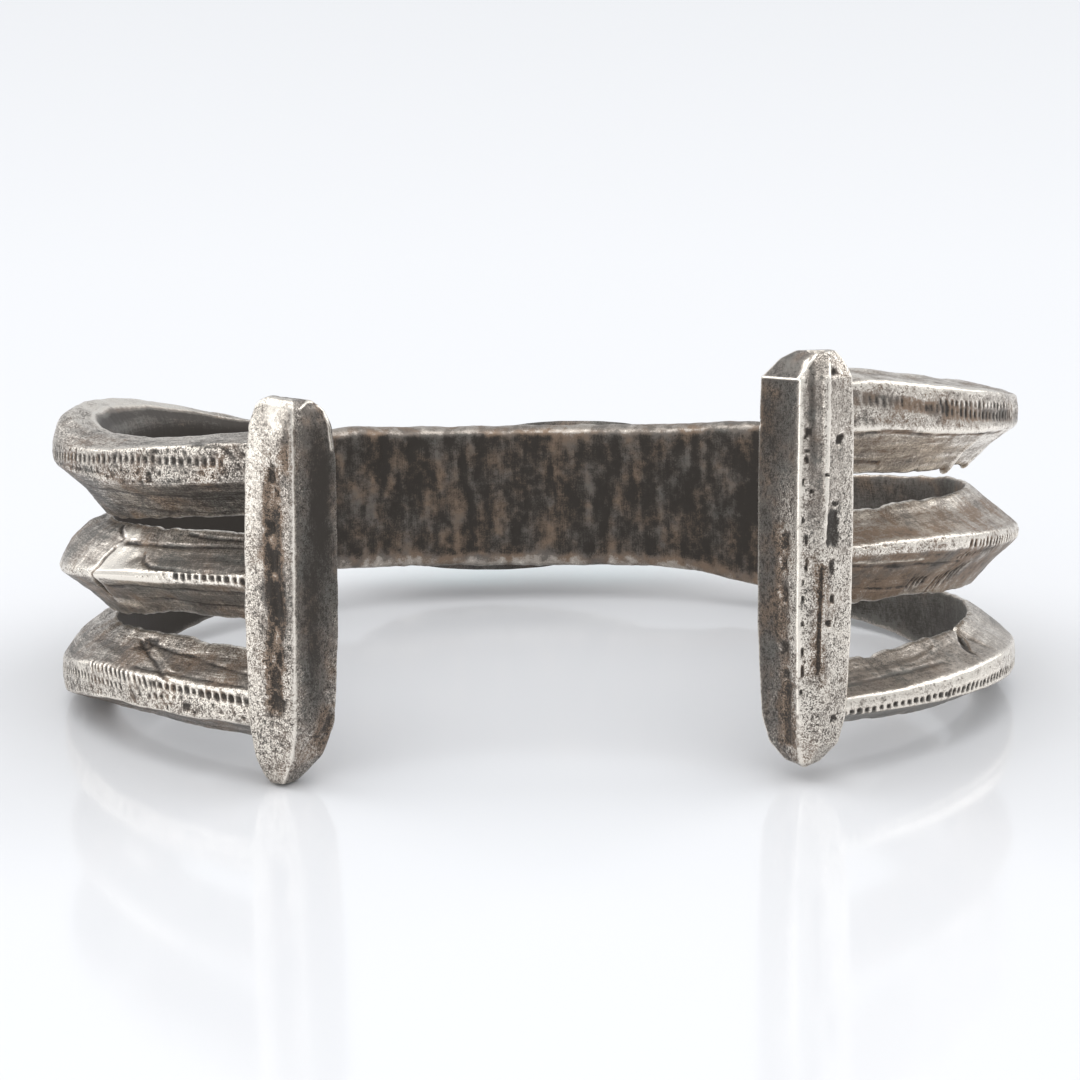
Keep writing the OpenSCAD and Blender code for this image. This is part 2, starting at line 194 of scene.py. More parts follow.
BANDS = (
    Band(
        "upper_band", UPPER_TABLE,
        marks=(
            Marks((150, 172, 186, 195, 201, 207, 211, 215, 223, 231.5),
                  (5.7, 6.3, 6.4, 6.4, 6.48, 6.6, 6.7, 6.8, 6.86, 6.88), 0.52, 0.34, 0.6, 0.15),
            Marks((-58, -49, -44, -39, -34, -31), (10.35, 9.7, 9.32, 8.9, 8.5, 8.27),
                  0.8, 0.32, 0.5, 0.065),
            Marks((-31, -29, -22, -10, 5, 20, 34, 46), (8.27, 8.13, 7.7, 7.45, 7.3, 6.8, 6, 5.2),
                  0.62, 0.32, 0.55, 0.13),
            Marks((-36, -32, -26, -19, -10, 5), (9.15, 8.88, 8.58, 8.26, 8.05, 7.9), 0.4, 0.3, 0.55, 0.12),
        ),
        lines=(
            Line((-60, -49, -44, -39, -34, -30, -22, -12), (10.5, 9.7, 9.32, 8.9, 8.5, 8.2, 7.75, 7.5),
                 0.44, 0.08, 0.72),
            Line((-60, -55, -45, -39, -31, -18), (11.5, 11.4, 10.8, 10.3, 9.72, 9.1), 0.2, -0.05, 0.02),
            Line((150, 175, 197, 207, 214, 220, 226), (5.2, 5.6, 5.95, 5.75, 5.4, 5.5, 5.75),
                 0.1, 0.06, 0.7),
            Line((199, 214, 228, 238), (4.7, 4.35, 4.75, 5), 0.07, 0.07, 0.85),
            Line((203, 216, 226, 240), (3.5, 3.3, 3.5, 3.8), 0.06, 0.06, 0.85),
            Line((-60, -45, -30, -15), (7.8, 7.55, 6.8, 6.45), 0.09, 0.06, 0.85),
            Line((-52, -47, -42), (5.75, 5.7, 5.5), 0.12, 0.06, 0.8),
        ),
        spots=(
            Spot(219.2, 5.78, 0.2, 0.3, 0.14, 0.95),
            Spot(154, 8.5, 9.5, 0.8, 0, 0.03),
            Spot(206, 4.3, 2.6, 0.7, 0, 0.46),
            Spot(228, 3.6, 3.5, 0.25, 0, 0.42),
            Spot(236, 7, 2.4, 1.1, 0, 0.6),
            Spot(230, 7.85, 1.6, 0.1, 0.08, 0.8),
            Spot(220.5, 7.4, 0.25, 0.12, 0.1, 0.9),
        ),
        top_notches=(),
        bottom_notches=(
            Notch(-23, 0.18, -0.28), Notch(-18, 1.4, 0.25), Notch(-12, 0.18, -0.2), Notch(-8, 1.2, 0.12),
        ),
        rag=(0.02, 0.05),
        right=Side(0.45, 0.8, -0.2, -0.36, 0.22, 0.9),
        left=Side(0.9, 0.55, -0.16, 0.18, 0.3, 2),
        seed=11,
    ),
    Band(
        "middle_band", MIDDLE_TABLE,
        marks=(
            Marks((223.4, 226, 228, 230.5, 232.6, 236), (-0.2, -0.18, -0.17, -0.21, -0.28, -0.36),
                  0.42, 0.34, 0.56, 0.17, -0.15),
            Marks((216, 219, 222.5), (-0.42, -0.37, -0.3), 0.14, 0.22, 0.5, 0.06),
            Marks((-29, -24, -20, -15, -8, 5, 20, 40),
                  (0.02, -0.08, -0.14, -0.24, -0.25, -0.25, -0.2, -0.05), 0.55, 0.26, 0.5, 0.15, 0.1),
            Marks((-30, -27, -24, -20), (-0.74, -0.7, -0.65, -0.6), 0.26, 0.2, 0.4, 0.1, 0.4),
            Marks((-30.4, -27.6, -24.6), (-2.55, -2.15, -1.65), 0.7, 0.26, 0.46, 0.26, 0.15),
            Marks((-36.5, -33.5), (-2.2, -2.15), 0.6, 0.24, 0.42, 0.2, 0.1),
            Marks((150, 170, 190), (-0.55, -0.85, -0.85), 0.4, 0.34, 0.58, 0.14),
        ),
        lines=(
            Line((204.6, 204.8, 204.6, 204.9, 204, 204.3, 201.8, 200.8),
                 (1.1, 0.73, 0.36, -0.19, -0.64, -1.08, -1.84, -2.5), 0.17, 0.3, 1),
            Line((204, 205, 203, 201, 200), (1.1, 1.4, 1.7, 2, 2.2), 0.09, 0.07, 0.8),
            Line((206, 212, 220, 228, 240), (1.25, 1.3, 1.35, 1.5, 1.5), 0.09, 0.13, 0.95),
            Line((219, 224, 230, 240), (2.05, 1.9, 1.85, 1.85), 0.1, 0.12, 0.9),
            Line((213, 215, 218, 224, 232), (0.95, 0.4, 0.15, 0.12, 0.1), 0.08, 0.07, 0.85),
            Line((205, 214, 224, 240), (-1.45, -1.3, -1.1, -1.2), 0.08, 0.1, 0.9),
            Line((212, 222, 232), (-2.1, -2, -2.2), 0.08, 0.08, 0.85),
            Line((-60, -54, -47.4, -43, -38), (0, -0.05, -0.3, -0.35, -0.5), 0.08, -0.05, 0),
            Line((-60, -50, -40, -28), (-0.3, -0.5, -0.8, -1.1), 0.09, 0.08, 0.8),
            Line((-60, -48, -36), (-1.9, -2, -2.4), 0.08, 0.08, 0.8),
        ),
        spots=(
            Spot(208.2, 0.3, 2.1, 0.85, 0, 0),
            Spot(210.5, -0.45, 2.6, 0.6, 0, 0),
            Spot(216, -0.42, 2.4, 0.34, 0, 0.02),
            Spot(206.2, 1.72, 1.3, 0.36, 0, 0),
            Spot(199, 0.4, 1.3, 0.8, 0, 0.3),
            Spot(205, -2.6, 1.6, 0.35, 0, 0.15),
        ),
        top_notches=(
            Notch(-41, 0.5, 0.18), Notch(-30, 0.8, 0.1), Notch(213, 0.6, 0.15), Notch(-49, 0.9, 0.12),
        ),
        bottom_notches=(Notch(-35, 0.8, 0.12), Notch(215, 1.2, 0.12), Notch(-46, 0.35, -0.15)),
        rag=(0.06, 0.06),
        right=Side(0.6, 1, -0.1, -0.02, 0, 0.6),
        left=Side(0.8, 0.5, 0.02, 0.02, 0, 1.1),
        seed=23,
    ),
    Band(
        "lower_band", LOWER_TABLE,
        marks=(
            Marks((202.4, 206.7, 209.8, 214.3, 218.6), (-6.51, -6.57, -6.65, -6.84, -6.99),
                  0.62, 0.3, 0.52, 0.12, -0.5),
            Marks((218.6, 221.6, 224.3, 229.2, 231.6, 236), (-6.99, -7.1, -7.19, -7.38, -7.52, -7.7),
                  0.42, 0.38, 0.56, 0.17, -0.2),
            Marks((150, 165, 180, 192.8, 198.4, 205.6, 211.5), (-5.7, -6.7, -7.3, -7.25, -7.2, -7.34, -7.43),
                  0.4, 0.28, 0.52, 0.13, -0.3),
            Marks((217.7, 220.7, 224.2), (-7.79, -7.74, -7.69), 0.38, 0.3, 0.55, 0.1),
            Marks((-58, -51, -46, -41, -35), (-9.32, -9.25, -9.14, -9.04, -8.95), 0.32, 0.32, 0.55, 0.16),
            Marks((-35, -31, -27, -24, -20, -8, 5, 20, 34, 46),
                  (-8.95, -8.9, -8.82, -8.68, -8.59, -8.4, -8.1, -7.7, -6.6, -5.4),
                  0.44, 0.3, 0.5, 0.14, 0.35),
        ),
        lines=(
            Line((-18.6, -20.6, -22.7, -24.3, -25), (-5.6, -6.16, -6.51, -6.79, -7.19), 0.14, 0.22, 1),
            Line((207, 211, 215, 219, 223.5), (-4.8, -5.3, -5.8, -6.4, -6.95), 0.07, 0.07, 0.85),
            Line((208, 212, 216, 220, 224.2), (-4.73, -5.18, -5.63, -6.23, -6.83), 0.06, -0.015, 0.25),
            Line((209, 214, 220, 228, 238), (-4.75, -5.1, -5.4, -5.9, -6.5), 0.08, 0.08, 0.8),
            Line((212, 220, 228, 236), (-6.2, -6.35, -6.6, -6.9), 0.07, 0.07, 0.8),
            Line((-60, -50, -40, -32), (-7.9, -7.7, -7.4, -7.2), 0.08, 0.07, 0.65),
            Line((-52, -44, -36, -30), (-7.3, -7.2, -6.9, -6.4), 0.1, -0.05, 0.4),
            Line((202, 212, 222, 236), (-8.3, -8.4, -8.75, -9.1), 0.07, -0.04, 0.05),
        ),
        spots=(
            Spot(210.5, -4.97, 0.7, 0.26, 0.2, 0.9),
            Spot(224.6, -8.2, 0.3, 0.22, 0.1, 0.85),
            Spot(-13, -6.3, 2.6, 0.8, 0, 0.22),
            Spot(-49, -6.75, 1.2, 0.25, 0, 0.25),
        ),
        top_notches=(
            Notch(-43.5, 0.6, 0.25), Notch(-19.5, 0.3, 0.3), Notch(221, 0.7, 0.15), Notch(-55, 1.2, 0.15),
        ),
        bottom_notches=(),
        rag=(0.06, 0.03),
        right=Side(0.4, 0.1, -0.14, -0.1, -0.04, 0.4),
        left=Side(0.8, 0.65, -0.04, 0, 0.17, 1.4),
        seed=37,
    ),
)

# Cells on each of the twelve sides of a band's section, from the lower inner corner up
# the inner face and back down the outside, and each side's tarnish
BAND_CELLS = (8, 5, 4, 11, 11, 8, 8, 8, 12, 12, 4, 3)
BAND_TARNISH = (0.84, 0.84, 0.24, 0.48, 0.56, 0.54, 0.18, 0.22, 0.62, 0.6, 0.5, 0.6)
OUTER, RIM, TOP, LAND, LOW = range(2, 11), (2, 3), (3, 4, 5), (6, 7), (8, 9)

# Angles with the distance from ring to ring there, the angles between which a band's
# right side turns into its left, and how much darker the left is inside, partly
# from tarnish and partly as painted shade on the inner wall
BAND_SPACING = ((-60, 0.112), (30, 0.112), (50, 0.2), (130, 0.2), (150, 0.112), (241, 0.112))
LEFT_FROM, LEFT_TO = 60, 120
INNER_LEFT_TARNISH_AND_SHADE = 0.32

# How far a band's inner face stays off its edges, how far its edges and its land are
# rounded, and how far it is drawn into the front plate, from behind and from its edges,
# over a few degrees
INNER_MARGIN, INNER_ROUND, EDGE_ROUND, LAND_ROUND = 0.5, 0.1, 0.05, 0.08
PLATE_SINK, PLATE_TUCK, PLATE_BLEND = 0.3, 0.4, 3

# Sizes of the noise on a band: its uneven edges, lumps, grains and fine grains, brushed
# drags, hatching and the breaks in its lines. Three sizes are along the band, up and out.
EDGE_CELL, LUMP_CELL, GRAIN_CELL, FINE_CELL = 1.1, 2.2, 0.24, 0.15
DRAG_CELL, HATCH_CELL, BROKEN_CELL = (3.5, 0.3, 0.6), (0.2, 1.4, 1.4), (0.8, 9, 9)

# Heights of the relief on a band: lumps all over and more on its outside, drags, hatching,
# fine grains and the lips of its marks
LUMP_HEIGHT, OUTER_LUMP_HEIGHT, DRAG_HEIGHT = 0.02, 0.04, 0.025
HATCH_HEIGHT, FINE_HEIGHT, LIP_HEIGHT = 0.018, 0.01, 0.025

# How much hand-struck marks vary in height, size, place and depth
MARK_LIFT, MARK_SIZE, MARK_SHIFT, MARK_DEPTH = 0.04, 0.15, 0.03, 0.3

# How far a point counts as sunk or proud among the points beside it, and among those a
# little further off
PROUD_NEAR, PROUD_FAR = (-0.06, 0.1), (-0.1, 0.3)

# A mark or a pit takes its own tarnish between two depths. A spot with less tarnish than
# polished is smooth, a line wider than bold covers the speckles, and lines fade at both
# ends over a length.
HOLE_EDGE, MARK_TARNISH, PIT_TARNISH = (0.03, 0.12), 0.9, 0.95
POLISHED, BOLD, LINE_FADE = 0.1, 0.3, 0.4

# The front plate, cut from 54 to 125 degrees. Its thin ends lie a little inside the
# bands' edges, and it rises and drops past them in its middle. Its section's sides go
# up the inner face, over the top, down the outer face and back underneath.
PLATE_FROM, PLATE_TO, PLATE_SPACING = 54, 125, 0.15
WEB_THICKNESS, WEB_SPAN, WEB_INSET = 0.8, 9, 0.3
PLATE_RISE, PLATE_DROP, PLATE_RELIEF, PLATE_GRAIN = 0.65, 0.4, 0.05, 0.01
PLATE_CELLS = (72, 7, 8, 7, 40, 7, 8, 7)
PLATE_TARNISH = (0.83, 0.46, 0.46, 0.34, 0.55, 0.34, 0.44, 0.52)

# The end bars: corners of the section from the gap side round the front to the back,
# the point on which the bar narrows, at each height the shift sideways and how wide and
# how deep the section is, and the cells and the tarnish of each side. Two smaller rings
# close each end, softening rounds it, and the top slopes between two heights. Each crest
# is a corner and how far its worn brightness reaches. Patches, pits and cuts are places
# seen from the front: sideways and height. A cut has a halo of tarnish beside it. The
# first three sides face the front. Rings lie closer together where a bar changes, by
# weights for its height, shift, width and depth.
BAR_LEAN, BAR_ROLL, BAR_RINGS = 4, 1.4, 300
CAP_SHARES, RING_WEIGHTS = (0.02, 0.5), (1, 0, 3, 2)
SLOPE_FROM, SLOPE_TO = 8.5, 10.8
BAR_FRONT, BAR_RELIEF, BAR_GRAIN = (0, 1, 2), 0.03, 0.025
PIT_DEPTH, HALO_REACH = 0.2, 0.55
Bar = namedtuple(
    "Bar", "name corners core rows cells tarnish soften top_slope crests patches pits cuts seed"
)
Patch = namedtuple("Patch", "x z half_wide half_tall tarnish speckle")
Pit = namedtuple("Pit", "x z half_wide half_tall")
Cut = namedtuple("Cut", "path wide deep tarnish fade halo", defaults=(0,))
BARS = (
    Bar(
        "right_end_bar",
        corners=(
            (13.1, -18.9), (15.4, -22.2), (17, -22.3), (18.85, -20.4), (18.4, -18.5), (13.4, -18.2),
        ),
        core=(16.1, -19.9),
        rows=(
            (-12.4, -0.1, 0.1, 0.3), (-12.1, -0.1, 0.36, 0.5), (-11, 0, 0.72, 0.78),
            (-9.4, 0, 0.88, 0.95), (-4, 0, 0.98, 1), (4, 0, 1, 1), (9.5, 0, 0.98, 1),
            (11.3, 0, 0.95, 0.98), (12.4, 0.2, 0.66, 0.7), (12.9, 0.4, 0.4, 0.5),
        ),
        cells=(42, 18, 28, 20, 34, 8),
        tarnish=(0.6, 0.32, 0.3, 0.34, 0.5, 0.5),
        soften=1, top_slope=0, crests=((0, 0.16), (1, 0.26), (3, 0.16)),
        patches=(
            Patch(14.3, 8.2, 1.4, 3.1, 0.96, 0.02), Patch(13.7, -2, 0.6, 8, 0.82, 0.6),
            Patch(15.1, -3, 0.5, 6.8, 0.2, 1.4), Patch(15, 12.1, 1.25, 0.62, 0.76, 0.1),
            # Patch(16.45, 10, ...) is painted shade on the left side of the valley between the first two
            # ridges
            Patch(16.6, 7, 0.45, 4.6, 0.34, 0.3), Patch(16.45, 10, 0.32, 1.5, 0.72, 0.2),
            Patch(18, 8, 0.7, 4, 0.32, 0.4),
        ),
        pits=(
            Pit(16.13, 8.16, 0.17, 0.25), Pit(16.05, 7, 0.14, 0.09), Pit(16.04, 6.5, 0.11, 0.2),
            Pit(18.1, 7.59, 0.18, 0.22), Pit(17.86, 11.74, 0.15, 0.18), Pit(17.6, 2.3, 0.32, 0.95),
            Pit(17.75, 3.8, 0.16, 0.16), Pit(17.5, -0.07, 0.14, 0.35), Pit(17.27, -3.43, 0.16, 0.16),
            Pit(17.48, -2.03, 0.12, 0.2), Pit(15.92, 1.71, 0.08, 0.28), Pit(15.95, 0.2, 0.07, 0.3),
            Pit(15.8, 5.2, 0.07, 0.14), Pit(15.75, 2.9, 0.07, 0.16), Pit(15.7, -0.9, 0.06, 0.12),
            Pit(15.69, -1.93, 0.08, 0.2), Pit(15.62, -3.4, 0.07, 0.12), Pit(15.59, -5.15, 0.07, 0.2),
            Pit(15.58, -6.4, 0.08, 0.3), Pit(15.5, -7.6, 0.07, 0.14),
            Pit(17.5, -9.37, 0.16, 0.18), Pit(14.7, 1.5, 0.2, 0.5), Pit(14.6, 0.1, 0.12, 0.3),
            Pit(14.6, -1.6, 0.14, 0.4), Pit(14.55, -4.9, 0.16, 0.4), Pit(14.6, -6.6, 0.14, 0.3),
            Pit(13.4, 8.6, 0.08, 0.14), Pit(16.3, 4.6, 0.08, 0.12), Pit(17.3, 5.6, 0.09, 0.1),
        ),
        cuts=(
            Cut(((17, 16), (16.7, 11), (16.6, 6), (16.55, 0.5)), 0.5, 0.2, 0.44, 4.5),
            # This barely sunk cut is a dark streak of painted shade along the left side of that valley
            Cut(((16.5, 13), (16.42, 11), (16.4, 8), (16.42, 5)), 0.2, 0.02, 0.7, 2.5),
            Cut(((16.9, 0.6), (16.78, -1.5), (16.62, -3.5), (16.5, -6.8)), 0.14, 0.14, 0.95, 0.8, 0.25),
            Cut(((14.79, -6.6), (14.68, -8.49), (14.7, -9.96), (14.75, -11.4)), 0.2, 0.12, 0.95, 0.8, 0.3),
            Cut(((14.6, 2), (14.6, -2.6), (14.55, -4.2), (14.7, -6.6)), 0.25, 0.06, 0.72, 1, 0.2),
            Cut(((12.8, 11.28), (15.58, 11.32), (16, 11.8), (17, 13.2)), 0.09, -0.04, 0, 0.1),
            Cut(((17.55, 13.2), (17.4, 8.4), (17.2, 3.6), (17.15, 1)), 0.09, -0.05, 0, 2),
        ),
        seed=41,
    ),
    Bar(
        "left_end_bar",
        corners=(
            (-12.2, -18.9), (-14.7, -22.1), (-15, -22.15), (-17.8, -20.3), (-17.4, -18.5), (-12.5, -18.2),
        ),
        core=(-15, -19.9),
        rows=(
            (-12.7, -0.6, 0.26, 0.4), (-12.3, -0.5, 0.42, 0.6), (-11.1, -0.2, 0.72, 0.8),
            (-9.2, 0, 0.92, 0.95), (-4, 0, 1, 1), (2, 0, 1, 1), (7, 0, 0.97, 1),
            (9.2, 0, 0.88, 0.94), (10.4, 0, 0.7, 0.76), (10.8, 0, 0.46, 0.55),
        ),
        cells=(42, 8, 36, 20, 34, 8),
        tarnish=(0.46, 0.22, 0.36, 0.3, 0.5, 0.5),
        soften=6, top_slope=0.16, crests=((1, 0.16),),
        patches=(
            Patch(-15.35, 9.9, 0.85, 1.6, -0.1, 0.05), Patch(-16.9, 5, 0.6, 5, 0.06, 0.35),
            Patch(-17.2, -3, 0.45, 5, 0.2, 0.7), Patch(-13.1, 4.4, 0.8, 5.6, 1, 0),
            Patch(-13.8, -3, 0.6, 5, 0.96, 0.1), Patch(-15.85, -0.3, 0.85, 4, 0.78, 0.45),
            Patch(-15.2, 4.5, 0.3, 4, 0.42, 0.6), Patch(-15.9, -7, 0.9, 2.4, 0.4, 0.9),
        ),
        pits=(
            Pit(-15.9, 6.3, 0.19, 0.4), Pit(-15.97, 1.3, 0.38, 0.62), Pit(-15.78, -1.4, 0.29, 1.3),
            Pit(-16.05, -6.1, 0.3, 0.75), Pit(-16.1, -7.6, 0.44, 0.6), Pit(-16.05, 3.2, 0.2, 0.4),
            Pit(-15.85, -4.8, 0.15, 0.4), Pit(-15.6, 5.2, 0.1, 0.2),
        ),
        cuts=(
            Cut(((-15.8, 7.2), (-15.95, 4.7), (-16, 1), (-15.8, -1.6), (-16, -4.6), (-16.25, -7),
                 (-16.2, -9.2)), 0.22, 0.06, 0.66, 2, 0.42),
            Cut(((-14.8, 10.4), (-14.9, 9), (-15.02, 7), (-15.1, 5.2)), 0.2, 0.08, 0.66, 2, 0.18),
            Cut(((-13.4, -9.9), (-13.1, -9.2), (-12.8, -8.4)), 0.2, 0.08, 0.9, 0.4, 0.2),
            Cut(((-14.2, 10.1), (-13.7, 10.55), (-13.2, 10.5), (-12.75, 9.9), (-12.5, 9), (-12.35, 7.4)),
                0.09, -0.05, 0, 0.2),
        ),
        seed=43,
    ),
)

# Solder between a bar and a band, as in the CAD model: one skin round two balls in the
# band's end and a foot in the bar, with mottled tarnish
SOLDER_ANGLE, SOLDER_R, SOLDER_DEPTH, SOLDER_MARGIN = 3, 1.15, 1.3, 0.9
SOLDER_FOOT, SOLDER_FOOT_R = 0.6, 0.8
SOLDER_TARNISH, SOLDER_MOTTLE = 0.5, 0.3

# The setting: turn and middle on the plate, and distances off the inner face
BEZEL_TURN, BEZEL_MIDDLE = 5, (-0.3, 0.4)
SEAT_OFFSET, RIM_OFFSET, STONE_CLEARANCE = 2.5, 4.5, 0.1
GIRDLE_HEIGHT, DOME_HEIGHT = 1.8, 2.1
BEZEL_POINTS, BEZEL_RINGS, STONE_POINTS, DOME_RINGS = 320, 70, 160, 60
BEZEL_RELIEF, STONE_RELIEF = 0.03, 0.02

# Depth of the fine relief that the materials add. The stone's matrix is a net with so many
# cells in a metre, bent by so many waves in a metre, by a share of the way.
RELIEF = 0.03
NET_SCALE, BEND_SCALE, BEND = 260.0, 400.0, 0.004

# The camera of the photograph, in metres and degrees, what the soft boxes face, how far
# the table reaches and the colour of the light from all round
CAMERA_PLACE = (0.00055, -0.29195, 0.08724)
CAMERA_TURN = (75.0, 0.593, -0.093)
CAMERA_LENS_MM, CAMERA_SENSOR_MM = 155, 36
CAMERA_NEAR, CAMERA_FAR = 0.01, 20
CUFF_MIDDLE = (0, 0, 0.01)
FLOOR_REACH = 3
ROOM_COLOUR = (0.95, 0.97, 1.0)


def settings():
    """The sizes and colours that a user can change."""
    return bpy.context.scene.cuff


def hollow():
    """Half of the wrist hollow's width and of its depth, in millimetres."""
    return settings().hollow_half_w / MM, settings().hollow_half_d / MM


# Noise


def eased(part):
    """A share from 0 to 1, with a smooth start and end."""
    return part * part * (3 - 2 * part)


def noise(points, cell, seed):
    """Smooth noise from -1 to 1 at each point, with lumps about a cell in size."""
    size = 32
    values = np.random.default_rng(seed).uniform(-1, 1, (size, size, size))
    scaled = np.asarray(points) / np.asarray(cell, float)
    base = np.floor(scaled).astype(int)
    part = eased(scaled - base)
    total = 0
    for corner in itertools.product((0, 1), repeat=3):
        x, y, z = np.moveaxis((base + corner) % size, -1, 0)
        share = np.prod(np.where(corner, part, 1 - part), axis=-1)
        total = total + share * values[x, y, z]
    return total


def rough(points, cell, seed, octaves=3):
    """Noise with finer and weaker noise on top."""
    return sum(noise(points, np.asarray(cell) / 2**k, seed + k) / 2**k for k in range(octaves))


def step(values, low, high):
    """0 below low, 1 above high, and smooth between."""
    return eased(np.clip((values - low) / (high - low), 0, 1))


def block(along, across, power=6):
    """1 inside a rounded box of half size 1, and 0 outside."""
    return 1 / (1 + np.abs(along) ** power + np.abs(across) ** power)


def blend(value, goal, share):
    """A value brought towards a goal by a share of the way."""
    return value + (goal - value) * share


# Shape


def column(table, name, angles):
    """A column of a band's table at some angles, smoothed as in the CAD model."""
    places, values = table[:, 0], table[:, COLUMNS.index(name)]
    near = (-SMOOTH_SPAN, 0, 0, SMOOTH_SPAN)
    return sum(np.interp(angles + shift, places, values) for shift in near) / len(near)


def wall(angles, depths, heights):
    """Points of the cuff's wall, at a depth outside its inner face."""
    half_w, half_d = hollow()
    turn = np.radians(angles)
    x, y = (half_w + depths) * np.cos(turn), (half_d + depths) * np.sin(turn)
    return np.stack([x, y, heights + 0 * turn], -1)


def lengths():
    """Angles round the cuff, and how far along the middle of its wall each one is."""
    beyond, count = 5, 2000
    angles = np.linspace(RIGHT_END - beyond, LEFT_END + beyond, count)
    path = wall(angles, WALL_MIDDLE, 0)
    steps = np.linalg.norm(np.diff(path, axis=0), axis=1)
    return angles, np.concatenate([[0], np.cumsum(steps)])


def length_at(angles):
    return np.interp(angles, *lengths())


def stations(first, last, spacing):
    """Angles from first to last, spaced by a table of angles and distances."""
    angles, along = lengths()
    wanted = (angles >= first) & (angles <= last)
    angles, along = angles[wanted], along[wanted]
    places, gaps = np.array(spacing).T
    cells = np.concatenate([[0], np.cumsum(np.diff(along) / np.interp(angles[1:], places, gaps))])
    count = int(cells[-1])
    inside = np.interp(np.linspace(0, cells[-1], count + 1), cells, angles)
    inside[0], inside[-1] = first, last
    return inside


def softened(values, rounds, axis=-1):
    """Values round a ring, blurred a little."""
    for _ in range(rounds):
        values = (np.roll(values, 1, axis) + 2 * values + np.roll(values, -1, axis)) / 4
    return values


def on_sides(side, sides):
    """1 on some sides of a section and 0 on the others, blurred where they meet."""
    return softened(np.isin(side, sides) * 1.0, 2)


def shares(cells, soften):
    """How much of each corner of a section goes into each point of its ring, and the side of each point."""
    rows, sides = [], []
    for side, count in enumerate(cells):
        for k in range(count):
            row = np.zeros(len(cells))
            row[side] = 1 - k / count
            row[(side + 1) % len(cells)] += k / count
            rows.append(row)
            sides.append(side)
    return softened(np.array(rows), soften, 0), np.array(sides)


def laid(angles, corners, cells, soften):
    """A skin laid over a section's corners at each angle round the cuff: its points, their depths
    and heights, how far along the cuff they are, and the side of the section that each is on."""
    corners = np.stack([np.stack(np.broadcast_arrays(*corner), -1) for corner in corners], 1)
    weights, side = shares(cells, soften)
    sections = np.einsum("rc,kcx->krx", weights, corners)
    depths, heights = sections[..., 0], sections[..., 1]
    along = np.broadcast_to(length_at(angles)[:, None], heights.shape)
    return wall(angles[:, None], depths, heights), depths, heights, along, side


def outwards(points):
    """The outward direction at each point of a skin of rings."""
    along = np.gradient(points, axis=0)
    around = np.roll(points, -1, 1) - np.roll(points, 1, 1)
    across = np.cross(around, along)
    across /= np.linalg.norm(across, axis=-1, keepdims=True) + 1e-9
    middle = points.mean(axis=1, keepdims=True)
    return across * np.sign(((points - middle) * across).sum(axis=(1, 2)).mean())


def lifted(points, lift):
    """A skin with each point moved outwards."""
    return points + outwards(points) * lift[..., None]


def raised(points, reach):
    """How far each point of a skin stands above the points around it, in millimetres."""
    around = (np.roll(points, reach, 1) + np.roll(points, -reach, 1)) / 2
    longer = np.pad(points, ((reach, reach), (0, 0), (0, 0)), mode="edge")
    along = (longer[: -2 * reach] + longer[2 * reach :]) / 2
    return ((2 * points - around - along) * outwards(points)).sum(-1)


def looks(points, tarnish, speckle, flow, brown=0.5, brushed=0.3):
    """What the silver reads at each point. Tarnish is rubbed off what stands proud and gathers
    in what is sunk, and speckles are strongest where it is half rubbed off."""
    proud = np.clip(raised(points, 1), *PROUD_NEAR) + 0.5 * np.clip(raised(points, 3), *PROUD_FAR)
    tarnish = np.clip(tarnish - settings().wear * proud, 0, 1)
    speckle = speckle * (0.15 + 0.85 * step(tarnish, 0, 0.2)) * (1 - 0.45 * step(tarnish, 0.55, 0.9))
    brown, brushed = brown + 0 * tarnish, brushed + 0 * tarnish
    return {"tarnish": tarnish, "speckle": speckle, "brown": brown, "brushed": brushed, "flow": flow * MM}


def at_rest(points):
    """Moves points of the level cuff to its resting place, in metres, inside the CAD box."""
    pitch = Matrix.Rotation(math.radians(-REST_PITCH), 3, "X")
    roll = Matrix.Rotation(math.radians(-REST_ROLL), 3, "Y")
    placed = (points @ np.array(pitch @ roll).T + REST_SHIFT) * MM
    return np.clip(placed, CAD_LOW, CAD_HIGH)


def skin(name, rings, layers, material, *kind):
    """A closed skin through rings of points: a flat grid that is laid on them, welded along
    its seam and closed at both ends. Its layers are what the material reads at each point."""
    rows, count = rings.shape[:2]
    bm = bmesh.new()
    bmesh.ops.create_grid(bm, x_segments=count, y_segments=rows - 1, size=1)
    grid = [(row, k % count) for row in range(rows) for k in range(count + 1)]
    places = at_rest(rings.reshape(-1, 3)).reshape(rings.shape).tolist()
    for vert, (row, k) in zip(bm.verts, grid):
        vert.co = places[row][k]
    for look, values in layers.items():
        numbers = bm.verts.layers.float_vector if values.ndim > 2 else bm.verts.layers.float
        layer = numbers.new(look)
        values = values.tolist()
        for vert, (row, k) in zip(bm.verts, grid):
            vert[layer] = values[row][k]
    bm.verts.ensure_lookup_table()
    seam = {bm.verts[row * (count + 1) + count]: bm.verts[row * (count + 1)] for row in range(rows)}
    bmesh.ops.weld_verts(bm, targetmap=seam)
    bmesh.ops.holes_fill(bm, edges=[edge for edge in bm.edges if edge.is_boundary], sides=0)
    bmesh.ops.recalc_face_normals(bm, faces=bm.faces)
    finished(name, bm, material, *kind)


def new_object(name, data):
    added = bpy.data.objects.new(name, data)
    bpy.context.scene.collection.objects.link(added)
    return added


def meshed(name, bm, material):
    """Turns a bmesh into an object with one material."""
    mesh = bpy.data.meshes.new(name)
    bm.to_mesh(mesh)
    bm.free()
    mesh.materials.append(material)
    return new_object(name, mesh)


def finished(name, bm, material, node="silver_cuff", slot="old_silver"):
    """Turns a bmesh into a piece that rides on the cuff and stands for a CAD node."""
    for face in bm.faces:
        face.smooth = True
    piece = meshed(name, bm, material)
    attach(piece, "root")
    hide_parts(node)


# Bands


def broken_off(along, notches):
    """How much is broken off an edge at each place along it."""
    return sum(notch.deep * block((along - length_at(notch.angle)) / notch.wide, 0) for notch in notches)


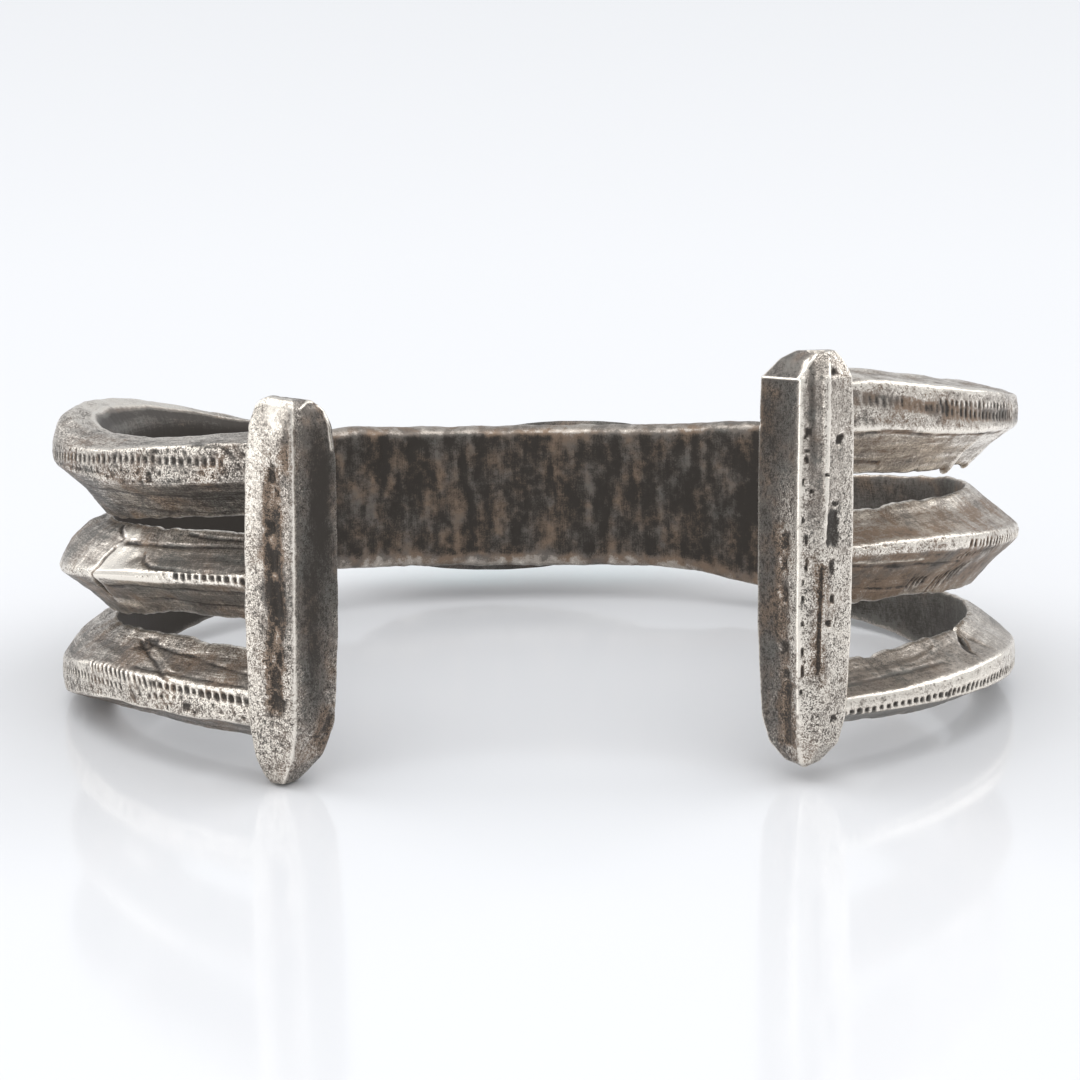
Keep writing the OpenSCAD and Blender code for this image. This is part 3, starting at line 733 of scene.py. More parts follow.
def band_corners(band, angles):
    """Corners of a band's section, as depths and heights, at each angle."""
    shape = settings()
    get = {name: column(band.table, name, angles) for name in COLUMNS[1:]}
    along = length_at(angles)
    line = np.stack([along, 0 * along, 0 * along], -1)
    top = get["top"] + band.rag[0] * rough(line, EDGE_CELL, band.seed) - broken_off(along, band.top_notches)
    bottom = get["bottom"] + band.rag[1] * rough(line, EDGE_CELL, band.seed + 5)
    bottom = bottom + broken_off(along, band.bottom_notches)
    plate = step(angles, PLATE_FROM - PLATE_BLEND, PLATE_FROM + PLATE_BLEND)
    plate = plate * step(-angles, -PLATE_TO - PLATE_BLEND, -PLATE_TO + PLATE_BLEND)
    inner = PLATE_SINK * plate
    top, bottom = top - PLATE_TUCK * plate, bottom + PLATE_TUCK * plate
    ridge, back = shape.band_depth / MM + get["added_depth"], get["set_back"]
    edge, hollowed = shape.edge_thickness / MM, shape.flank_hollow / MM
    high, low, swell = get["ridge_top"], get["ridge_bottom"], get["swell"]

    def flank(a, b, part, out, up):
        return blend(a[0], b[0], part) + out, blend(a[1], b[1], part) + up

    top_edge, bottom_edge = (back + edge, top - EDGE_ROUND), (edge, bottom + EDGE_ROUND)
    high_side, low_side = (ridge - LAND_ROUND, high), (ridge - LAND_ROUND, low)
    return (
        (inner, bottom + INNER_MARGIN),
        (inner, top - INNER_MARGIN - back),
        (inner + back + INNER_ROUND, top),
        top_edge,
        flank(top_edge, high_side, 0.33, 0.6 * swell - hollowed, 0.8 * swell),
        flank(top_edge, high_side, 0.7, 0.6 * swell - 0.8 * hollowed, 0.8 * swell),
        high_side,
        (ridge, (high + low) / 2),
        low_side,
        flank(low_side, bottom_edge, 0.5, -hollowed, 0),
        bottom_edge,
        (inner + INNER_ROUND, bottom),
    )


def punched(along, heights, band):
    """How deep each point lies in the punched marks, in millimetres, and 1 on the marks' lips."""
    random = np.random.default_rng(band.seed)
    deepest, lips = 0 * heights, 0 * heights
    for row in band.marks:
        places = length_at(np.array(row.angles))
        middle = heights - np.interp(along, places, row.heights)
        ahead = along - places[0] - row.lean * middle
        count = int((places[-1] - places[0]) / row.pitch)
        number = np.clip(np.round(ahead / row.pitch), 0, count).astype(int)
        shift, lift, size, depth = random.uniform(-1, 1, (4, count + 1))
        half_tall = row.tall / 2 * (1 + MARK_SIZE * size[number])
        across = (middle - MARK_LIFT * lift[number]) / half_tall
        ahead = (ahead - number * row.pitch - MARK_SHIFT * shift[number]) / (row.wide / 2)
        inside = block(ahead, across, 3)
        deepest = np.maximum(deepest, row.deep * (1 + MARK_DEPTH * depth[number]) * inside)
        lip = block(ahead * 0.65, across * 0.75, 4) - inside
        lips = np.maximum(lips, lip * min(row.deep / HOLE_EDGE[1], 1))
    return deepest, lips


def drawn(across, up, places, wide, fade):
    """1 on a line through some places, fading to 0 beside it and towards its ends."""
    points, places = np.stack([across, up], -1), np.array(places)
    nearest = np.full(across.shape, 1e9)
    for a, b in zip(places[:-1], places[1:]):
        part = np.clip(((points - a) @ (b - a)) / ((b - a) @ (b - a)), 0, 1)
        nearest = np.minimum(nearest, np.linalg.norm(points - a - part[..., None] * (b - a), axis=-1))
    first, last = (np.linalg.norm(points - places[end], axis=-1) for end in (0, -1))
    return np.exp(-((nearest / wide) ** 4)) * step(np.minimum(first, last), 0, fade)


def in_spots(band, along, heights, wander):
    """Each of a band's spots, with how far inside it each point is, from 0 to 1."""
    for spot in band.spots:
        ahead = (along - length_at(spot.angle)) / spot.long + wander
        yield spot, block(ahead, (heights - spot.height) / spot.tall + wander)


def on_lines(band, along, heights):
    """Each of a band's lines, with how far on it each point is, from 0 to 1."""
    for line in band.lines:
        places = np.stack([length_at(np.array(line.angles)), np.array(line.heights)], -1)
        yield line, drawn(along, heights, places, line.wide, LINE_FADE)


def make_band(band, material):
    """A ridged band, laid round the cuff, then marked, pitted, worn and tarnished."""
    angles = stations(RIGHT_END, LEFT_END, BAND_SPACING)
    points, depths, heights, along, side = laid(angles, band_corners(band, angles), BAND_CELLS, 2)
    outer, rim, top, land, low = (on_sides(side, sides) for sides in (OUTER, RIM, TOP, LAND, LOW))
    flank, inner = top + low, 1 - outer

    flow = np.stack([along, heights, depths], -1)
    lumps = rough(points, LUMP_CELL, band.seed + 10, 2)
    drag = rough(flow, DRAG_CELL, band.seed + 12, 2)
    hatch = noise(flow, HATCH_CELL, band.seed + 14)
    grains = noise(points, GRAIN_CELL, band.seed + 16)
    fine = noise(points, FINE_CELL, band.seed + 17)
    broken = 0.75 + 0.5 * noise(flow, BROKEN_CELL, band.seed + 18)

    left = step(angles, LEFT_FROM, LEFT_TO)[:, None]
    here = Side(*(blend(a, b, left) for a, b in zip(band.right, band.left)))
    # The left inner face is darkened further: partly tarnish, partly painted shade on the inner wall
    tarnish = softened(np.array(BAND_TARNISH)[side], 2) + INNER_LEFT_TARNISH_AND_SHADE * left * inner
    tarnish = tarnish + here.top * top + here.low * low + here.land * land
    speckle = 0.1 + here.speckle * (land + 0.4 * rim) * (1 + 0.5 * noise(points, 0.7, band.seed + 15))

    cut, lips = (outer * values for values in punched(along, heights, band))
    calm, grooves = 0 * cut, 0 * cut
    for spot, inside in in_spots(band, along, heights, 0.25 * lumps + 0.15 * grains):
        inside = outer * inside
        cut = cut + spot.deep * inside
        tarnish = blend(tarnish, spot.tarnish, inside)
        if spot.tarnish < POLISHED:
            calm = np.maximum(calm, inside)
    for line, inside in on_lines(band, along, heights + 0.04 * drag + 0.05 * lumps):
        inside = outer * inside * broken
        grooves = grooves + line.deep * inside
        speckle = speckle * (1 - 0.9 * inside * (line.wide > BOLD))
        tarnish = blend(tarnish, line.tarnish, np.clip(inside, 0, 1))

    marks, lively = step(cut, *HOLE_EDGE), 1 - calm
    worked = lively * flank * np.minimum(here.brushed, 1)
    pits = land * here.speckle * step(grains + 0.5 * fine, 0.1, 0.7)
    pits = pits * lively * (1 - marks) * (1 - np.clip(1.5 * lips, 0, 1))
    lift = OUTER_LUMP_HEIGHT * lumps * outer + LUMP_HEIGHT * lumps + FINE_HEIGHT * fine * lively
    lift = lift + worked * (DRAG_HEIGHT * drag + HATCH_HEIGHT * hatch) + LIP_HEIGHT * lips
    lift = lift - settings().pitting / MM * pits - cut - grooves
    tarnish = tarnish - 0.11 * worked * drag + 0.3 * pits + 0.08 * lumps
    tarnish = blend(tarnish, MARK_TARNISH, marks) - 0.3 * lips
    speckle = speckle * lively * (1 - np.clip(1.5 * lips, 0, 0.9))
    brushed = blend(0.3, here.brushed, flank) * (1 - 0.6 * calm)
    points = lifted(points, lift)
    layers = looks(points, tarnish, speckle, flow, here.brown * (1 - 0.6 * inner), brushed)
    skin(band.name, points, layers, material)


# Front plate


def make_front_plate(material):
    """The narrow plate that the bands run into, thin at its ends."""
    angles = stations(PLATE_FROM, PLATE_TO, ((PLATE_FROM, PLATE_SPACING), (PLATE_TO, PLATE_SPACING)))
    part = np.minimum(np.minimum(angles - PLATE_FROM, PLATE_TO - angles), WEB_SPAN) / WEB_SPAN
    depth = blend(WEB_THICKNESS, settings().plate_thickness / MM, part)
    top = column(UPPER_TABLE, "top", angles) - WEB_INSET + PLATE_RISE * part
    bottom = column(LOWER_TABLE, "bottom", angles) + WEB_INSET - PLATE_DROP * part
    corners = (
        (0, bottom + 1),
        (0, top - 0.5),
        (0.25 * depth, top - 0.15),
        (0.7 * depth, top),
        (depth, top - 0.2 * depth),
        (depth, bottom + 0.2 * depth),
        (0.7 * depth, bottom),
        (0.13 * depth, bottom + 0.15),
    )
    points, depths, heights, along, side = laid(angles, corners, PLATE_CELLS, 12)
    flow = np.stack([heights, along, depths], -1)
    streaks = rough(flow, (4.0, 1.1, 2.0), 61)
    lumps = rough(points, 1.5, 63)
    tarnish = softened(np.array(PLATE_TARNISH)[side], 3) - 0.1 * streaks - 0.06 * lumps
    tarnish = tarnish + 0.05 * step(-angles, -95, -60)[:, None]
    lift = PLATE_RELIEF * (lumps + streaks - 1) + PLATE_GRAIN * noise(points, 0.3, 65)
    points = lifted(points, lift)
    skin("front_plate", points, looks(points, tarnish, 0.05, flow, 0.85), material)


# End bars


def bar_rings(bar):
    """Rings of an end bar's skin, and the side of the section that each point is on."""
    rows = np.array(bar.rows)
    lower_cap, upper_cap = ([row * (1, 1, part, part) for part in CAP_SHARES] for row in (rows[0], rows[-1]))
    rows = np.array([*lower_cap, *rows, *reversed(upper_cap)])
    steps = np.linalg.norm(np.diff(rows * RING_WEIGHTS, axis=0), axis=1)
    places = np.concatenate([[0], np.cumsum(steps)])
    inside = np.linspace(0, places[-1], BAR_RINGS)
    path = np.stack([np.interp(inside, places, values) for values in rows.T])
    for _ in range(bar.soften):
        path[:, 1:-1] = (path[:, :-2] + 2 * path[:, 1:-1] + path[:, 2:]) / 4
    height, shift, wide, deep = path
    core = np.array(bar.core)
    lean = np.array([math.tan(math.radians(BAR_ROLL)), -math.tan(math.radians(BAR_LEAN))])
    middle = core + np.stack([shift, 0 * shift], -1) + height[:, None] * lean
    weights, side = shares(bar.cells, 3)
    section = weights @ (np.array(bar.corners) - core)
    flat = middle[:, None] + section * np.stack([wide, deep], -1)[:, None]
    slope = bar.top_slope * (flat[..., 0] - core[0])
    height = height[:, None] - slope * step(height, SLOPE_FROM, SLOPE_TO)[:, None]
    return np.concatenate([flat, height[..., None]], -1), side


def make_end_bar(bar, material):
    """A faceted bar with worn crests, and with patches, pits and cuts on its front."""
    points, side = bar_rings(bar)
    x, z = points[..., 0], points[..., 2]
    front = on_sides(side, BAR_FRONT)
    lumps = rough(points, 1.8, bar.seed)
    grains = noise(points, 0.24, bar.seed + 5) + 0.5 * noise(points, 0.14, bar.seed + 6)
    wander = 0.4 * noise(points, 0.3, bar.seed + 8) + 0.3 * noise(points, 0.8, bar.seed + 9)
    tarnish = softened(np.array(bar.tarnish)[side], 2) + 0.12 * lumps
    speckle = 1 + 0.5 * noise(points, 0.9, bar.seed + 7)
    crests, cut, holes, brown = 0 * x, 0 * x, 0 * x, 0.5 + 0 * x
    for patch in bar.patches:
        sideways = (x - patch.x) / patch.half_wide + 0.6 * wander
        inside = front * block(sideways, (z - patch.z) / patch.half_tall + 0.3 * wander, 3)
        tarnish = blend(tarnish, patch.tarnish, inside)
        speckle = blend(speckle, patch.speckle, inside)
    for corner, reach in bar.crests:
        away = np.linalg.norm(points - points[:, [sum(bar.cells[:corner])]], axis=-1)
        crests = np.maximum(crests, np.exp(-((away / reach) ** 2)))
    for pit in bar.pits:
        sideways = (x - pit.x) / pit.half_wide + wander
        inside = front * block(sideways, (z - pit.z) / pit.half_tall + wander, 4)
        holes = np.maximum(holes, PIT_DEPTH * inside)
    grains = speckle * step(grains, 0.1, 0.8)
    tarnish = tarnish + 0.2 * grains - (tarnish - 0.03) * 0.85 * crests
    for line in bar.cuts:
        inside = front * drawn(x, z, line.path, line.wide * (1 + 0.4 * wander), line.fade)
        halo = line.halo * front * drawn(x, z, line.path, HALO_REACH + 0.3 * wander, line.fade)
        tarnish = blend(tarnish + halo, line.tarnish, inside)
        brown = brown + 3 * halo
        cut = cut + line.deep * inside
    tarnish = blend(tarnish, PIT_TARNISH, step(holes, *HOLE_EDGE))
    points = lifted(points, BAR_RELIEF * lumps - BAR_GRAIN * grains * (1 - crests) - cut - holes)
    layers = looks(points, tarnish, speckle * (1 - 0.6 * crests), points[..., ::-1], brown)
    skin(bar.name, points, layers, material)


# Solder


def hulled(bm, verts):
    """Wraps some shapes in one convex skin, and drops what lies inside it."""
    faces = {face for vert in verts for face in vert.link_faces}
    edges = {edge for vert in verts for edge in vert.link_edges}
    bmesh.ops.delete(bm, geom=[*faces, *edges], context="EDGES_FACES")
    bmesh.ops.convex_hull(bm, input=verts)
    bmesh.ops.delete(bm, geom=[vert for vert in verts if not vert.link_faces], context="VERTS")


def make_solder(material):
    """A seam of solder between each bar and each band."""
    bm = bmesh.new()
    layers = [bm.verts.layers.float.new(look) for look in ("tarnish", "speckle", "brown", "brushed")]
    ends = zip(BARS, (RIGHT_END + SOLDER_ANGLE, LEFT_END - SOLDER_ANGLE))
    for band, (bar, angle) in itertools.product(BANDS, ends):
        top, bottom = (column(band.table, name, np.array(angle)) for name in ("top", "bottom"))
        middle, half = (top + bottom) / 2, (top - bottom) / 2 - SOLDER_MARGIN
        blob = []
        for lift in (-half, half):
            place = Matrix.Translation(wall(np.array(angle), SOLDER_DEPTH, middle + lift))
            ball = {"u_segments": 24, "v_segments": 16, "radius": SOLDER_R, "matrix": place}
            blob += bmesh.ops.create_uvsphere(bm, **ball)["verts"]
        place = Matrix.Translation((*bar.core, middle)) @ Matrix.Translation((0, SOLDER_FOOT, 0))
        foot = {"segments": 24, "radius1": SOLDER_FOOT_R, "radius2": SOLDER_FOOT_R, "depth": half}
        blob += bmesh.ops.create_cone(bm, **foot, matrix=place)["verts"]
        hulled(bm, blob)
    bmesh.ops.subdivide_edges(bm, edges=bm.edges, cuts=1, use_grid_fill=True)
    points = np.array([vert.co for vert in bm.verts])
    tarnish = np.clip(SOLDER_TARNISH + SOLDER_MOTTLE * rough(points, 1.2, 71), 0, 1)
    for vert, place, value in zip(bm.verts, at_rest(points).tolist(), tarnish.tolist()):
        vert.co = place
        for layer, number in zip(layers, (value, 0.5, 0.5, 0.3)):
            vert[layer] = number
    bmesh.ops.recalc_face_normals(bm, faces=bm.faces)
    finished("solder", bm, material)


# Setting


def on_plate(outline, offset):
    """Points of the setting: an outline on the plate, a distance off the plate's inner face."""
    turn = math.radians(BEZEL_TURN)
    x, up = outline[..., 0], outline[..., 1]
    across = x * math.cos(turn) + up * math.sin(turn)
    height = x * math.sin(turn) - up * math.cos(turn)
    depth = hollow()[1] + offset + 0 * x
    return np.stack([BEZEL_MIDDLE[0] + across, depth, BEZEL_MIDDLE[1] + height], -1)


def oval(grow, count):
    """Points of the setting's oval, grown or shrunk all round."""
    turn = np.radians(np.arange(count) * 360 / count)
    half_l, half_h = settings().bezel_length / MM / 2, settings().bezel_height / MM / 2
    return np.stack([(half_l + grow) * np.cos(turn), (half_h + grow) * np.sin(turn)], -1)


def make_bezel(material):
    """The plain wall that holds the stone, with its foot in the plate."""
    half_w, half_d = hollow()
    plate, inside = settings().plate_thickness / MM, -settings().bezel_wall / MM
    x = on_plate(oval(0, BEZEL_POINTS), 0)[:, 0]
    foot = (half_d + plate) * np.sqrt(1 - (x / (half_w + plate)) ** 2) - half_d
    # From the foot up the outside, over the rim and down the inside: how far out from the
    # oval, how far off the plate's face, or off the rim where a 1 follows, and the tarnish
    profile = np.array([
        (-0.5, -1.3, 0, 0.8), (0.26, 0, 0, 0.8), (0.1, 0.1, 0, 0.85), (0, 0.32, 0, 0.8),
        (0, -0.9, 1, 0.5), (0, -0.12, 1, 0.3), (-0.1, 0, 1, 0.1), (-0.3, 0, 1, 0.1), (-0.5, -0.05, 1, 0.15),
        (inside + 0.03, -0.18, 1, 0.4), (inside, -0.5, 1, 0.9), (inside, SEAT_OFFSET - RIM_OFFSET, 1, 0.9),
    ])
    keys = np.arange(len(profile))
    fine = np.linspace(0, keys[-1], BEZEL_RINGS)
    grow, off, high, tarnish = (np.interp(fine, keys, values) for values in profile.T)
    heights = foot * (1 - high[:, None]) + RIM_OFFSET * high[:, None] + off[:, None]
    points = np.array([on_plate(oval(out, BEZEL_POINTS), height) for out, height in zip(grow, heights)])
    lumps = rough(points, 1.5, 81)
    points = lifted(points, BEZEL_RELIEF * (lumps - 1))
    skin("bezel", points, looks(points, tarnish[:, None] + 0.25 * lumps, 0.5, points), material)


def make_stone(material):
    """An oval cabochon on its seat, with a little clearance round it."""
    outline = oval(-settings().bezel_wall / MM - STONE_CLEARANCE, STONE_POINTS)
    profile = [(0.97, 0), (1, 0.15), (1, GIRDLE_HEIGHT * 0.6)]
    for climb in np.radians(np.linspace(0, 89, DOME_RINGS)):
        profile.append((math.cos(climb), GIRDLE_HEIGHT + DOME_HEIGHT * 0.995 * math.sin(climb)))
    floor = SEAT_OFFSET + STONE_CLEARANCE
    points = np.array([on_plate(outline * scale, floor + height) for scale, height in profile])
    points = lifted(points, STONE_RELIEF * (noise(points, 2.5, 91) - 1.25))
    skin("turquoise", points, {}, material, "turquoise_stone", "turquoise")


# Materials


def add(tree, kind, sockets=(), **values):
    """A shader node with its settings; an input that is given a socket is linked to it."""
    node = tree.nodes.new(kind)
    for name, value in values.items():
        setattr(node, name, value)
    for name, value in dict(sockets).items():
        if isinstance(value, bpy.types.NodeSocket):
            tree.links.new(value, node.inputs[name])
        else:
            node.inputs[name].default_value = value
    return node


def new_material(name):
    """An empty material, and its node tree."""
    material = bpy.data.materials.new(name)
    material.use_nodes = True
    material.node_tree.nodes.clear()
    return material, material.node_tree


def surfaced(tree, sockets):
    """Closes a material's tree with a shader that has these inputs."""
    shader = add(tree, "ShaderNodeBsdfPrincipled", sockets)
    add(tree, "ShaderNodeOutputMaterial", {"Surface": shader.outputs[0]})


def place_in(tree):
    """Where each point is on the object, in metres."""
    return add(tree, "ShaderNodeTexCoord").outputs["Object"]


def grain(tree, where, cell, detail):
    """Noise with lumps about a cell in size, in millimetres."""
    sockets = {"Vector": where, "Scale": 1 / (cell * MM), "Detail": detail, "Roughness": 0.6}
    return add(tree, "ShaderNodeTexNoise", sockets).outputs[0]


def maths(tree, operation, a, b):
    return add(tree, "ShaderNodeMath", {0: a, 1: b}, operation=operation).outputs[0]


def ramp(tree, factor, *stops):
    node = add(tree, "ShaderNodeValToRGB", {"Fac": factor})
    elements = node.color_ramp.elements
    while len(elements) < len(stops):
        elements.new(0.5)
    for element, (place, hue) in zip(elements, stops):
        element.position, element.color = place, (*hue, 1)
    return node.outputs["Color"]


def mixed(tree, factor, a, b):
    return add(tree, "ShaderNodeMix", {0: factor, 6: a, 7: b}, data_type="RGBA").outputs[2]


def fitted(tree, value, low, high, out_low, out_high):
    """A value fitted smoothly from one range to another."""
    sockets = {"Value": value, "From Min": low, "From Max": high, "To Min": out_low, "To Max": out_high}
    return add(tree, "ShaderNodeMapRange", sockets, interpolation_type="SMOOTHSTEP").outputs[0]


def bumped(tree, strength, height):
    """The direction that a surface with a fine relief faces."""
    sockets = {"Strength": strength, "Distance": RELIEF * MM, "Height": height}
    return add(tree, "ShaderNodeBump", sockets).outputs[0]


def silver_material():
    """Old silver, pale where it is rubbed, brown and black where it is hollow or pitted. The
    tarnish has sharp specks where the piece asks for speckle, fine lines where it is brushed,
    and is more even where it is thick."""
    finish = settings()
    material, tree = new_material("worn_silver")
    where = place_in(tree)
    names = ("tarnish", "speckle", "brown", "brushed")
    read = (add(tree, "ShaderNodeAttribute", attribute_name=name).outputs["Fac"] for name in names)
    tarnish, speckle, brown, brushed = read
    flow = add(tree, "ShaderNodeAttribute", attribute_name="flow").outputs["Vector"]
    along, across = (
        add(tree, "ShaderNodeVectorMath", {0: flow, 1: stretch}, operation="MULTIPLY").outputs[0]
        for stretch in ((0.06, 1, 1), (1, 0.15, 0.15))
    )
    even = fitted(tree, tarnish, 0.7, 0.85, 1.0, 0.45)
    # Each pattern of the tarnish, what it shows with, and its strength
    patterns = (
        (grain(tree, where, 0.08, 2), speckle, 2.4),
        (fitted(tree, grain(tree, where, 0.15, 3), 0.52, 0.64, 0.3, 1.0), speckle, 0.8),
        (grain(tree, along, 0.08, 3), brushed, 0.8),
        (grain(tree, across, 0.12, 2), brushed, 0.3),
        (grain(tree, where, 0.1, 2), brushed, 0.8),
        (grain(tree, where, 0.4, 4), even, 0.5),
        (grain(tree, where, 1.5, 4), maths(tree, "MULTIPLY", brown, even), 0.9),
    )
    dark = tarnish
    for pattern, share, strength in patterns:
        change = maths(tree, "MULTIPLY", maths(tree, "SUBTRACT", pattern, 0.5), strength)
        dark = maths(tree, "ADD", dark, maths(tree, "MULTIPLY", change, share))
    browner = maths(tree, "MULTIPLY", maths(tree, "SUBTRACT", brown, 0.5), 0.3)
    hue = maths(tree, "SUBTRACT", grain(tree, where, 2.6, 3), browner)
    hues = (0.32, finish.brown_tarnish), (0.46, finish.plain_tarnish), (0.62, finish.grey_tarnish)
    rubbed = mixed(tree, fitted(tree, dark, 0.05, 0.3, 0, 1), (*finish.silver, 1), (*finish.dull_silver, 1))
    light = mixed(tree, fitted(tree, dark, 0.3, 0.55, 0, 1), rubbed, ramp(tree, hue, *hues))
    surfaced(tree, {
        "Base Color": mixed(tree, fitted(tree, dark, 0.6, 0.95, 0, 1), light, (*finish.black_tarnish, 1)),
        "Metallic": fitted(tree, dark, 0.4, 0.9, 1.0, 0.5),
        "Roughness": fitted(tree, dark, 0.0, 0.7, 0.26, 0.5),
        "Normal": bumped(tree, 0.5, maths(tree, "MULTIPLY", dark, -1)),
    })
    return material


def turquoise_material():
    """Polished turquoise: blue-green with cloudy patches and a net of brown matrix."""
    finish = settings()
    material, tree = new_material("polished_turquoise")
    where = place_in(tree)
    wander = add(tree, "ShaderNodeTexNoise", {"Vector": where, "Scale": BEND_SCALE, "Detail": 4.0})
    bend = {0: BEND, 4: where, 5: wander.outputs["Color"]}
    bent = add(tree, "ShaderNodeMix", bend, data_type="VECTOR").outputs[1]
    cells = {"Vector": bent, "Scale": NET_SCALE}
    net = add(tree, "ShaderNodeTexVoronoi", cells, feature="DISTANCE_TO_EDGE").outputs["Distance"]
    width = fitted(tree, grain(tree, where, 5.0, 3), 0.45, 0.65, 0.0, 0.06)
    vein = fitted(tree, maths(tree, "SUBTRACT", net, width), 0.0, 0.05, 1.0, 0.0)
    hues = (0.3, finish.turquoise_deep), (0.55, finish.turquoise), (0.75, finish.turquoise_pale)
    stone = ramp(tree, grain(tree, where, 4.0, 5), *hues)
    surfaced(tree, {
        "Base Color": mixed(tree, vein, stone, (*finish.matrix, 1)),
        "Roughness": fitted(tree, vein, 0.0, 1.0, 0.16, 0.4),
        "Normal": bumped(tree, 0.3, maths(tree, "SUBTRACT", 1.0, vein)),
    })
    return material


def floor_material():
    material, tree = new_material("floor")
    surfaced(tree, {"Base Color": (*settings().floor, 1), "Roughness": 0.1, "IOR": 1.3})
    return material


def silver():
    """The worn silver, made when it is first asked for."""
    return bpy.data.materials.get("worn_silver") or silver_material()


# Stage


def make_floor():
    """A pale glossy table."""
    bm = bmesh.new()
    bmesh.ops.create_grid(bm, x_segments=1, y_segments=1, size=FLOOR_REACH)
    floor = meshed("floor", bm, floor_material())
    floor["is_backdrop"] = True


def make_lights():
    """A pale room, and soft boxes that face the cuff."""
    scene = bpy.context.scene
    scene.world = bpy.data.worlds.new("studio")
    scene.world.use_nodes = True
    background = scene.world.node_tree.nodes["Background"].inputs
    background["Color"].default_value = (*ROOM_COLOUR, 1)
    background["Strength"].default_value = settings().room_light
    scene.view_settings.view_transform = "Standard"

    # Each soft box: place and size in metres, and power
    for name, place, size, power in (
        ("top_box", (0.0, -0.08, 0.7), 0.7, 1.8),
        ("left_box", (-0.55, 0.25, 0.4), 0.6, 1.5),
        ("right_box", (0.55, 0.25, 0.4), 0.6, 1.4),
        ("low_box", (-0.45, -0.25, 0.1), 0.3, 0.33),
    ):
        light = bpy.data.lights.new(name, "AREA")
        light.size, light.energy = size, power * settings().box_light
        lamp = new_object(name, light)
        lamp.location = place
        lamp.rotation_euler = (Vector(CUFF_MIDDLE) - Vector(place)).to_track_quat("-Z", "Y").to_euler()


def make_camera():
    """The camera, where the photograph was taken from."""
    camera = bpy.data.cameras.new("camera")
    camera.lens, camera.sensor_width = CAMERA_LENS_MM, CAMERA_SENSOR_MM
    camera.clip_start, camera.clip_end = CAMERA_NEAR, CAMERA_FAR
    holder = new_object("camera", camera)
    holder.location = CAMERA_PLACE
    holder.rotation_euler = [math.radians(turn) for turn in CAMERA_TURN]
    bpy.context.scene.camera = holder


# Properties, operators and panel


def length(name, description, millimetres):
    return bpy.props.FloatProperty(
        name=name, description=description, default=millimetres * MM, min=0,
        unit="LENGTH", subtype="DISTANCE",
    )


def colour(name, description, value):
    return bpy.props.FloatVectorProperty(
        name=name, description=description, default=value, min=0, max=1, size=3, subtype="COLOR",
    )


def amount(name, description, value):
    return bpy.props.FloatProperty(name=name, description=description, default=value, min=0)


class CuffSettings(bpy.types.PropertyGroup):
    hollow_half_w: length("Half width", "Half of the wrist hollow's width", 27.3)
    hollow_half_d: length("Half depth", "Half of the wrist hollow's depth, from plate to gap", 20.7)
    band_depth: length("Band depth", "Depth of a band from its inner face to its ridge", 3.4)
    edge_thickness: length("Edge thickness", "Thickness of a band's worn edges", 0.45)
    flank_hollow: length("Flank hollow", "How far a band's flanks are hollowed", 0.22)
    wear: amount("Wear", "How strongly tarnish is rubbed off what stands proud", 2.2)
    pitting: length("Pitting", "Depth of the small pits on the ridges", 0.06)
    plate_thickness: length("Plate thickness", "Thickness of the front plate", 2.1)
    bezel_length: length("Bezel length", "Length of the bezel's oval", 26)
    bezel_height: length("Bezel height", "Height of the bezel's oval", 9.6)
    bezel_wall: length("Bezel wall", "Thickness of the bezel's wall", 0.7)
    silver: colour("Rubbed silver", "Colour of the silver where it is rubbed bright", (0.89, 0.83, 0.74))
    dull_silver: colour("Dull silver", "Colour of lightly tarnished silver", (0.46, 0.41, 0.36))
    brown_tarnish: colour("Brown tarnish", "Colour of brown patches of tarnish", (0.27, 0.198, 0.145))
    plain_tarnish: colour("Tarnish", "Main colour of the tarnish", (0.21, 0.182, 0.158))
    grey_tarnish: colour("Grey tarnish", "Colour of grey patches of tarnish", (0.185, 0.176, 0.158))
    black_tarnish: colour("Black tarnish", "Colour of the darkest tarnish", (0.05, 0.042, 0.035))
    turquoise: colour("Turquoise", "Main colour of the stone", (0.1, 0.45, 0.44))
    turquoise_pale: colour("Pale turquoise", "Colour of the stone's pale patches", (0.26, 0.62, 0.56))
    turquoise_deep: colour("Deep turquoise", "Colour of the stone's deep patches", (0.04, 0.3, 0.33))
    matrix: colour("Matrix", "Colour of the veins in the stone", (0.07, 0.04, 0.02))
    floor: colour("Floor", "Colour of the table", (0.84, 0.845, 0.86))
    room_light: amount("Room light", "Strength of the light from all round", 0.725)
    box_light: amount("Soft boxes", "Strength of the soft boxes", 1.0)


class CUFF_OT_bands(bpy.types.Operator):
    """Makes the three ridged bands with their punched marks"""

    bl_idname = "cuff.make_bands"
    bl_label = "Bands"

    def execute(self, context):
        for band in BANDS:
            make_band(band, silver())
        return {"FINISHED"}


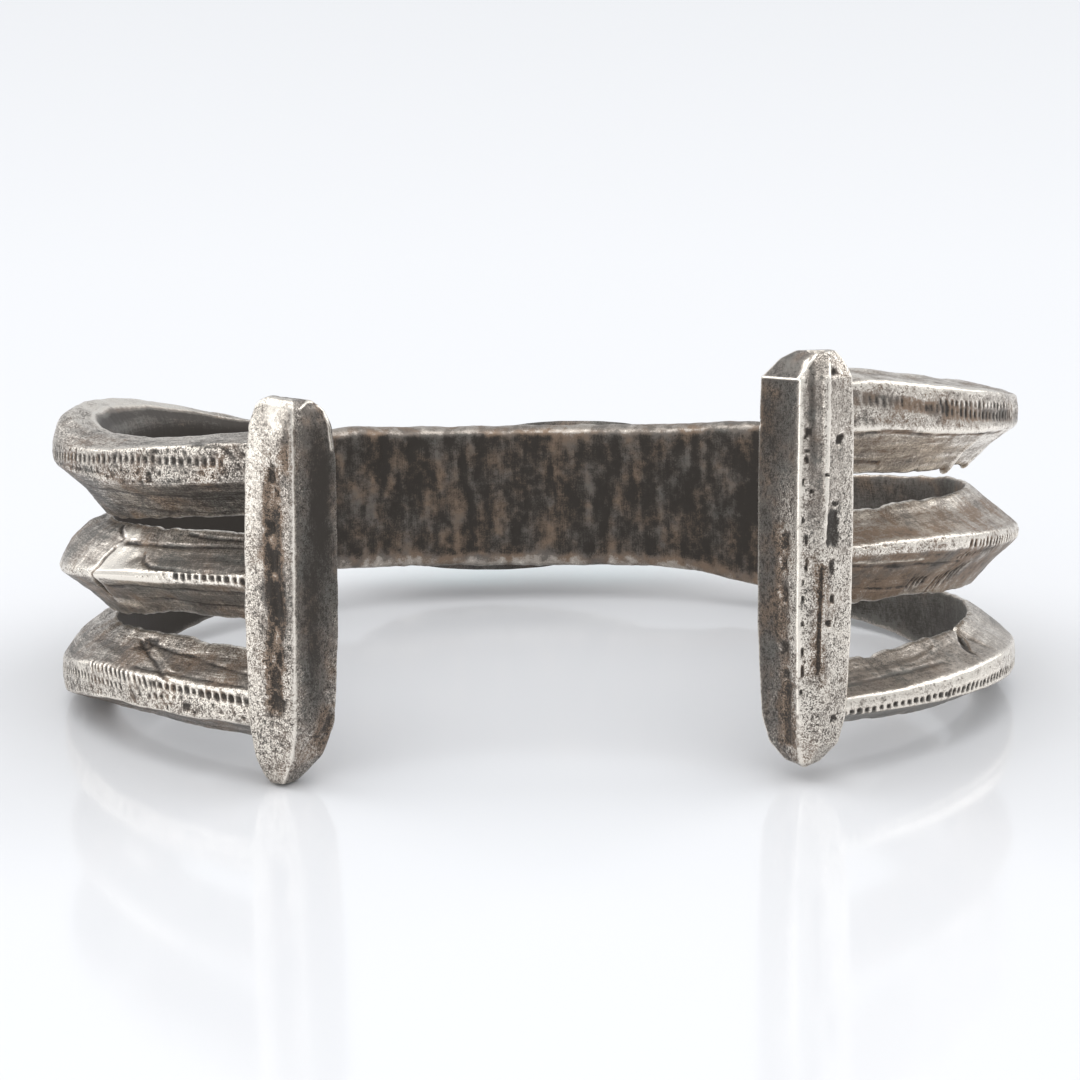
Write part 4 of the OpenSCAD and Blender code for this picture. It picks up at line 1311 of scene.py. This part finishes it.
class CUFF_OT_front_plate(bpy.types.Operator):
    """Makes the front plate that the bands run into"""

    bl_idname = "cuff.make_front_plate"
    bl_label = "Front plate"

    def execute(self, context):
        make_front_plate(silver())
        return {"FINISHED"}


class CUFF_OT_end_bars(bpy.types.Operator):
    """Makes the two upright bars and the solder behind them"""

    bl_idname = "cuff.make_end_bars"
    bl_label = "End bars"

    def execute(self, context):
        for bar in BARS:
            make_end_bar(bar, silver())
        make_solder(silver())
        return {"FINISHED"}


class CUFF_OT_setting(bpy.types.Operator):
    """Makes the bezel and the turquoise in it"""

    bl_idname = "cuff.make_setting"
    bl_label = "Setting"

    def execute(self, context):
        make_bezel(silver())
        make_stone(turquoise_material())
        return {"FINISHED"}


class CUFF_OT_stage(bpy.types.Operator):
    """Makes the pale table, the soft light and the camera"""

    bl_idname = "cuff.make_stage"
    bl_label = "Stage"

    def execute(self, context):
        make_floor()
        make_lights()
        make_camera()
        return {"FINISHED"}


class CUFF_PT_panel(bpy.types.Panel):
    """Lists the cuff's sizes, colours and pieces"""

    bl_label = "Turquoise cuff"
    bl_idname = "CUFF_PT_panel"
    bl_space_type = "VIEW_3D"
    bl_region_type = "UI"
    bl_category = "Cuff"

    def draw(self, context):
        for name in CuffSettings.__annotations__:
            self.layout.prop(context.scene.cuff, name)
        for operator in OPERATORS:
            self.layout.operator(operator.bl_idname)


OPERATORS = (CUFF_OT_bands, CUFF_OT_front_plate, CUFF_OT_end_bars, CUFF_OT_setting, CUFF_OT_stage)
CLASSES = (CuffSettings, *OPERATORS, CUFF_PT_panel)


def register():
    for cls in CLASSES:
        bpy.utils.register_class(cls)
    bpy.types.Scene.cuff = bpy.props.PointerProperty(type=CuffSettings)


def unregister():
    del bpy.types.Scene.cuff
    for cls in reversed(CLASSES):
        bpy.utils.unregister_class(cls)


def main():
    register()
    bpy.ops.cuff.make_bands()
    bpy.ops.cuff.make_front_plate()
    bpy.ops.cuff.make_end_bars()
    bpy.ops.cuff.make_setting()
    bpy.ops.cuff.make_stage()


if __name__ == "__main__":
    main()
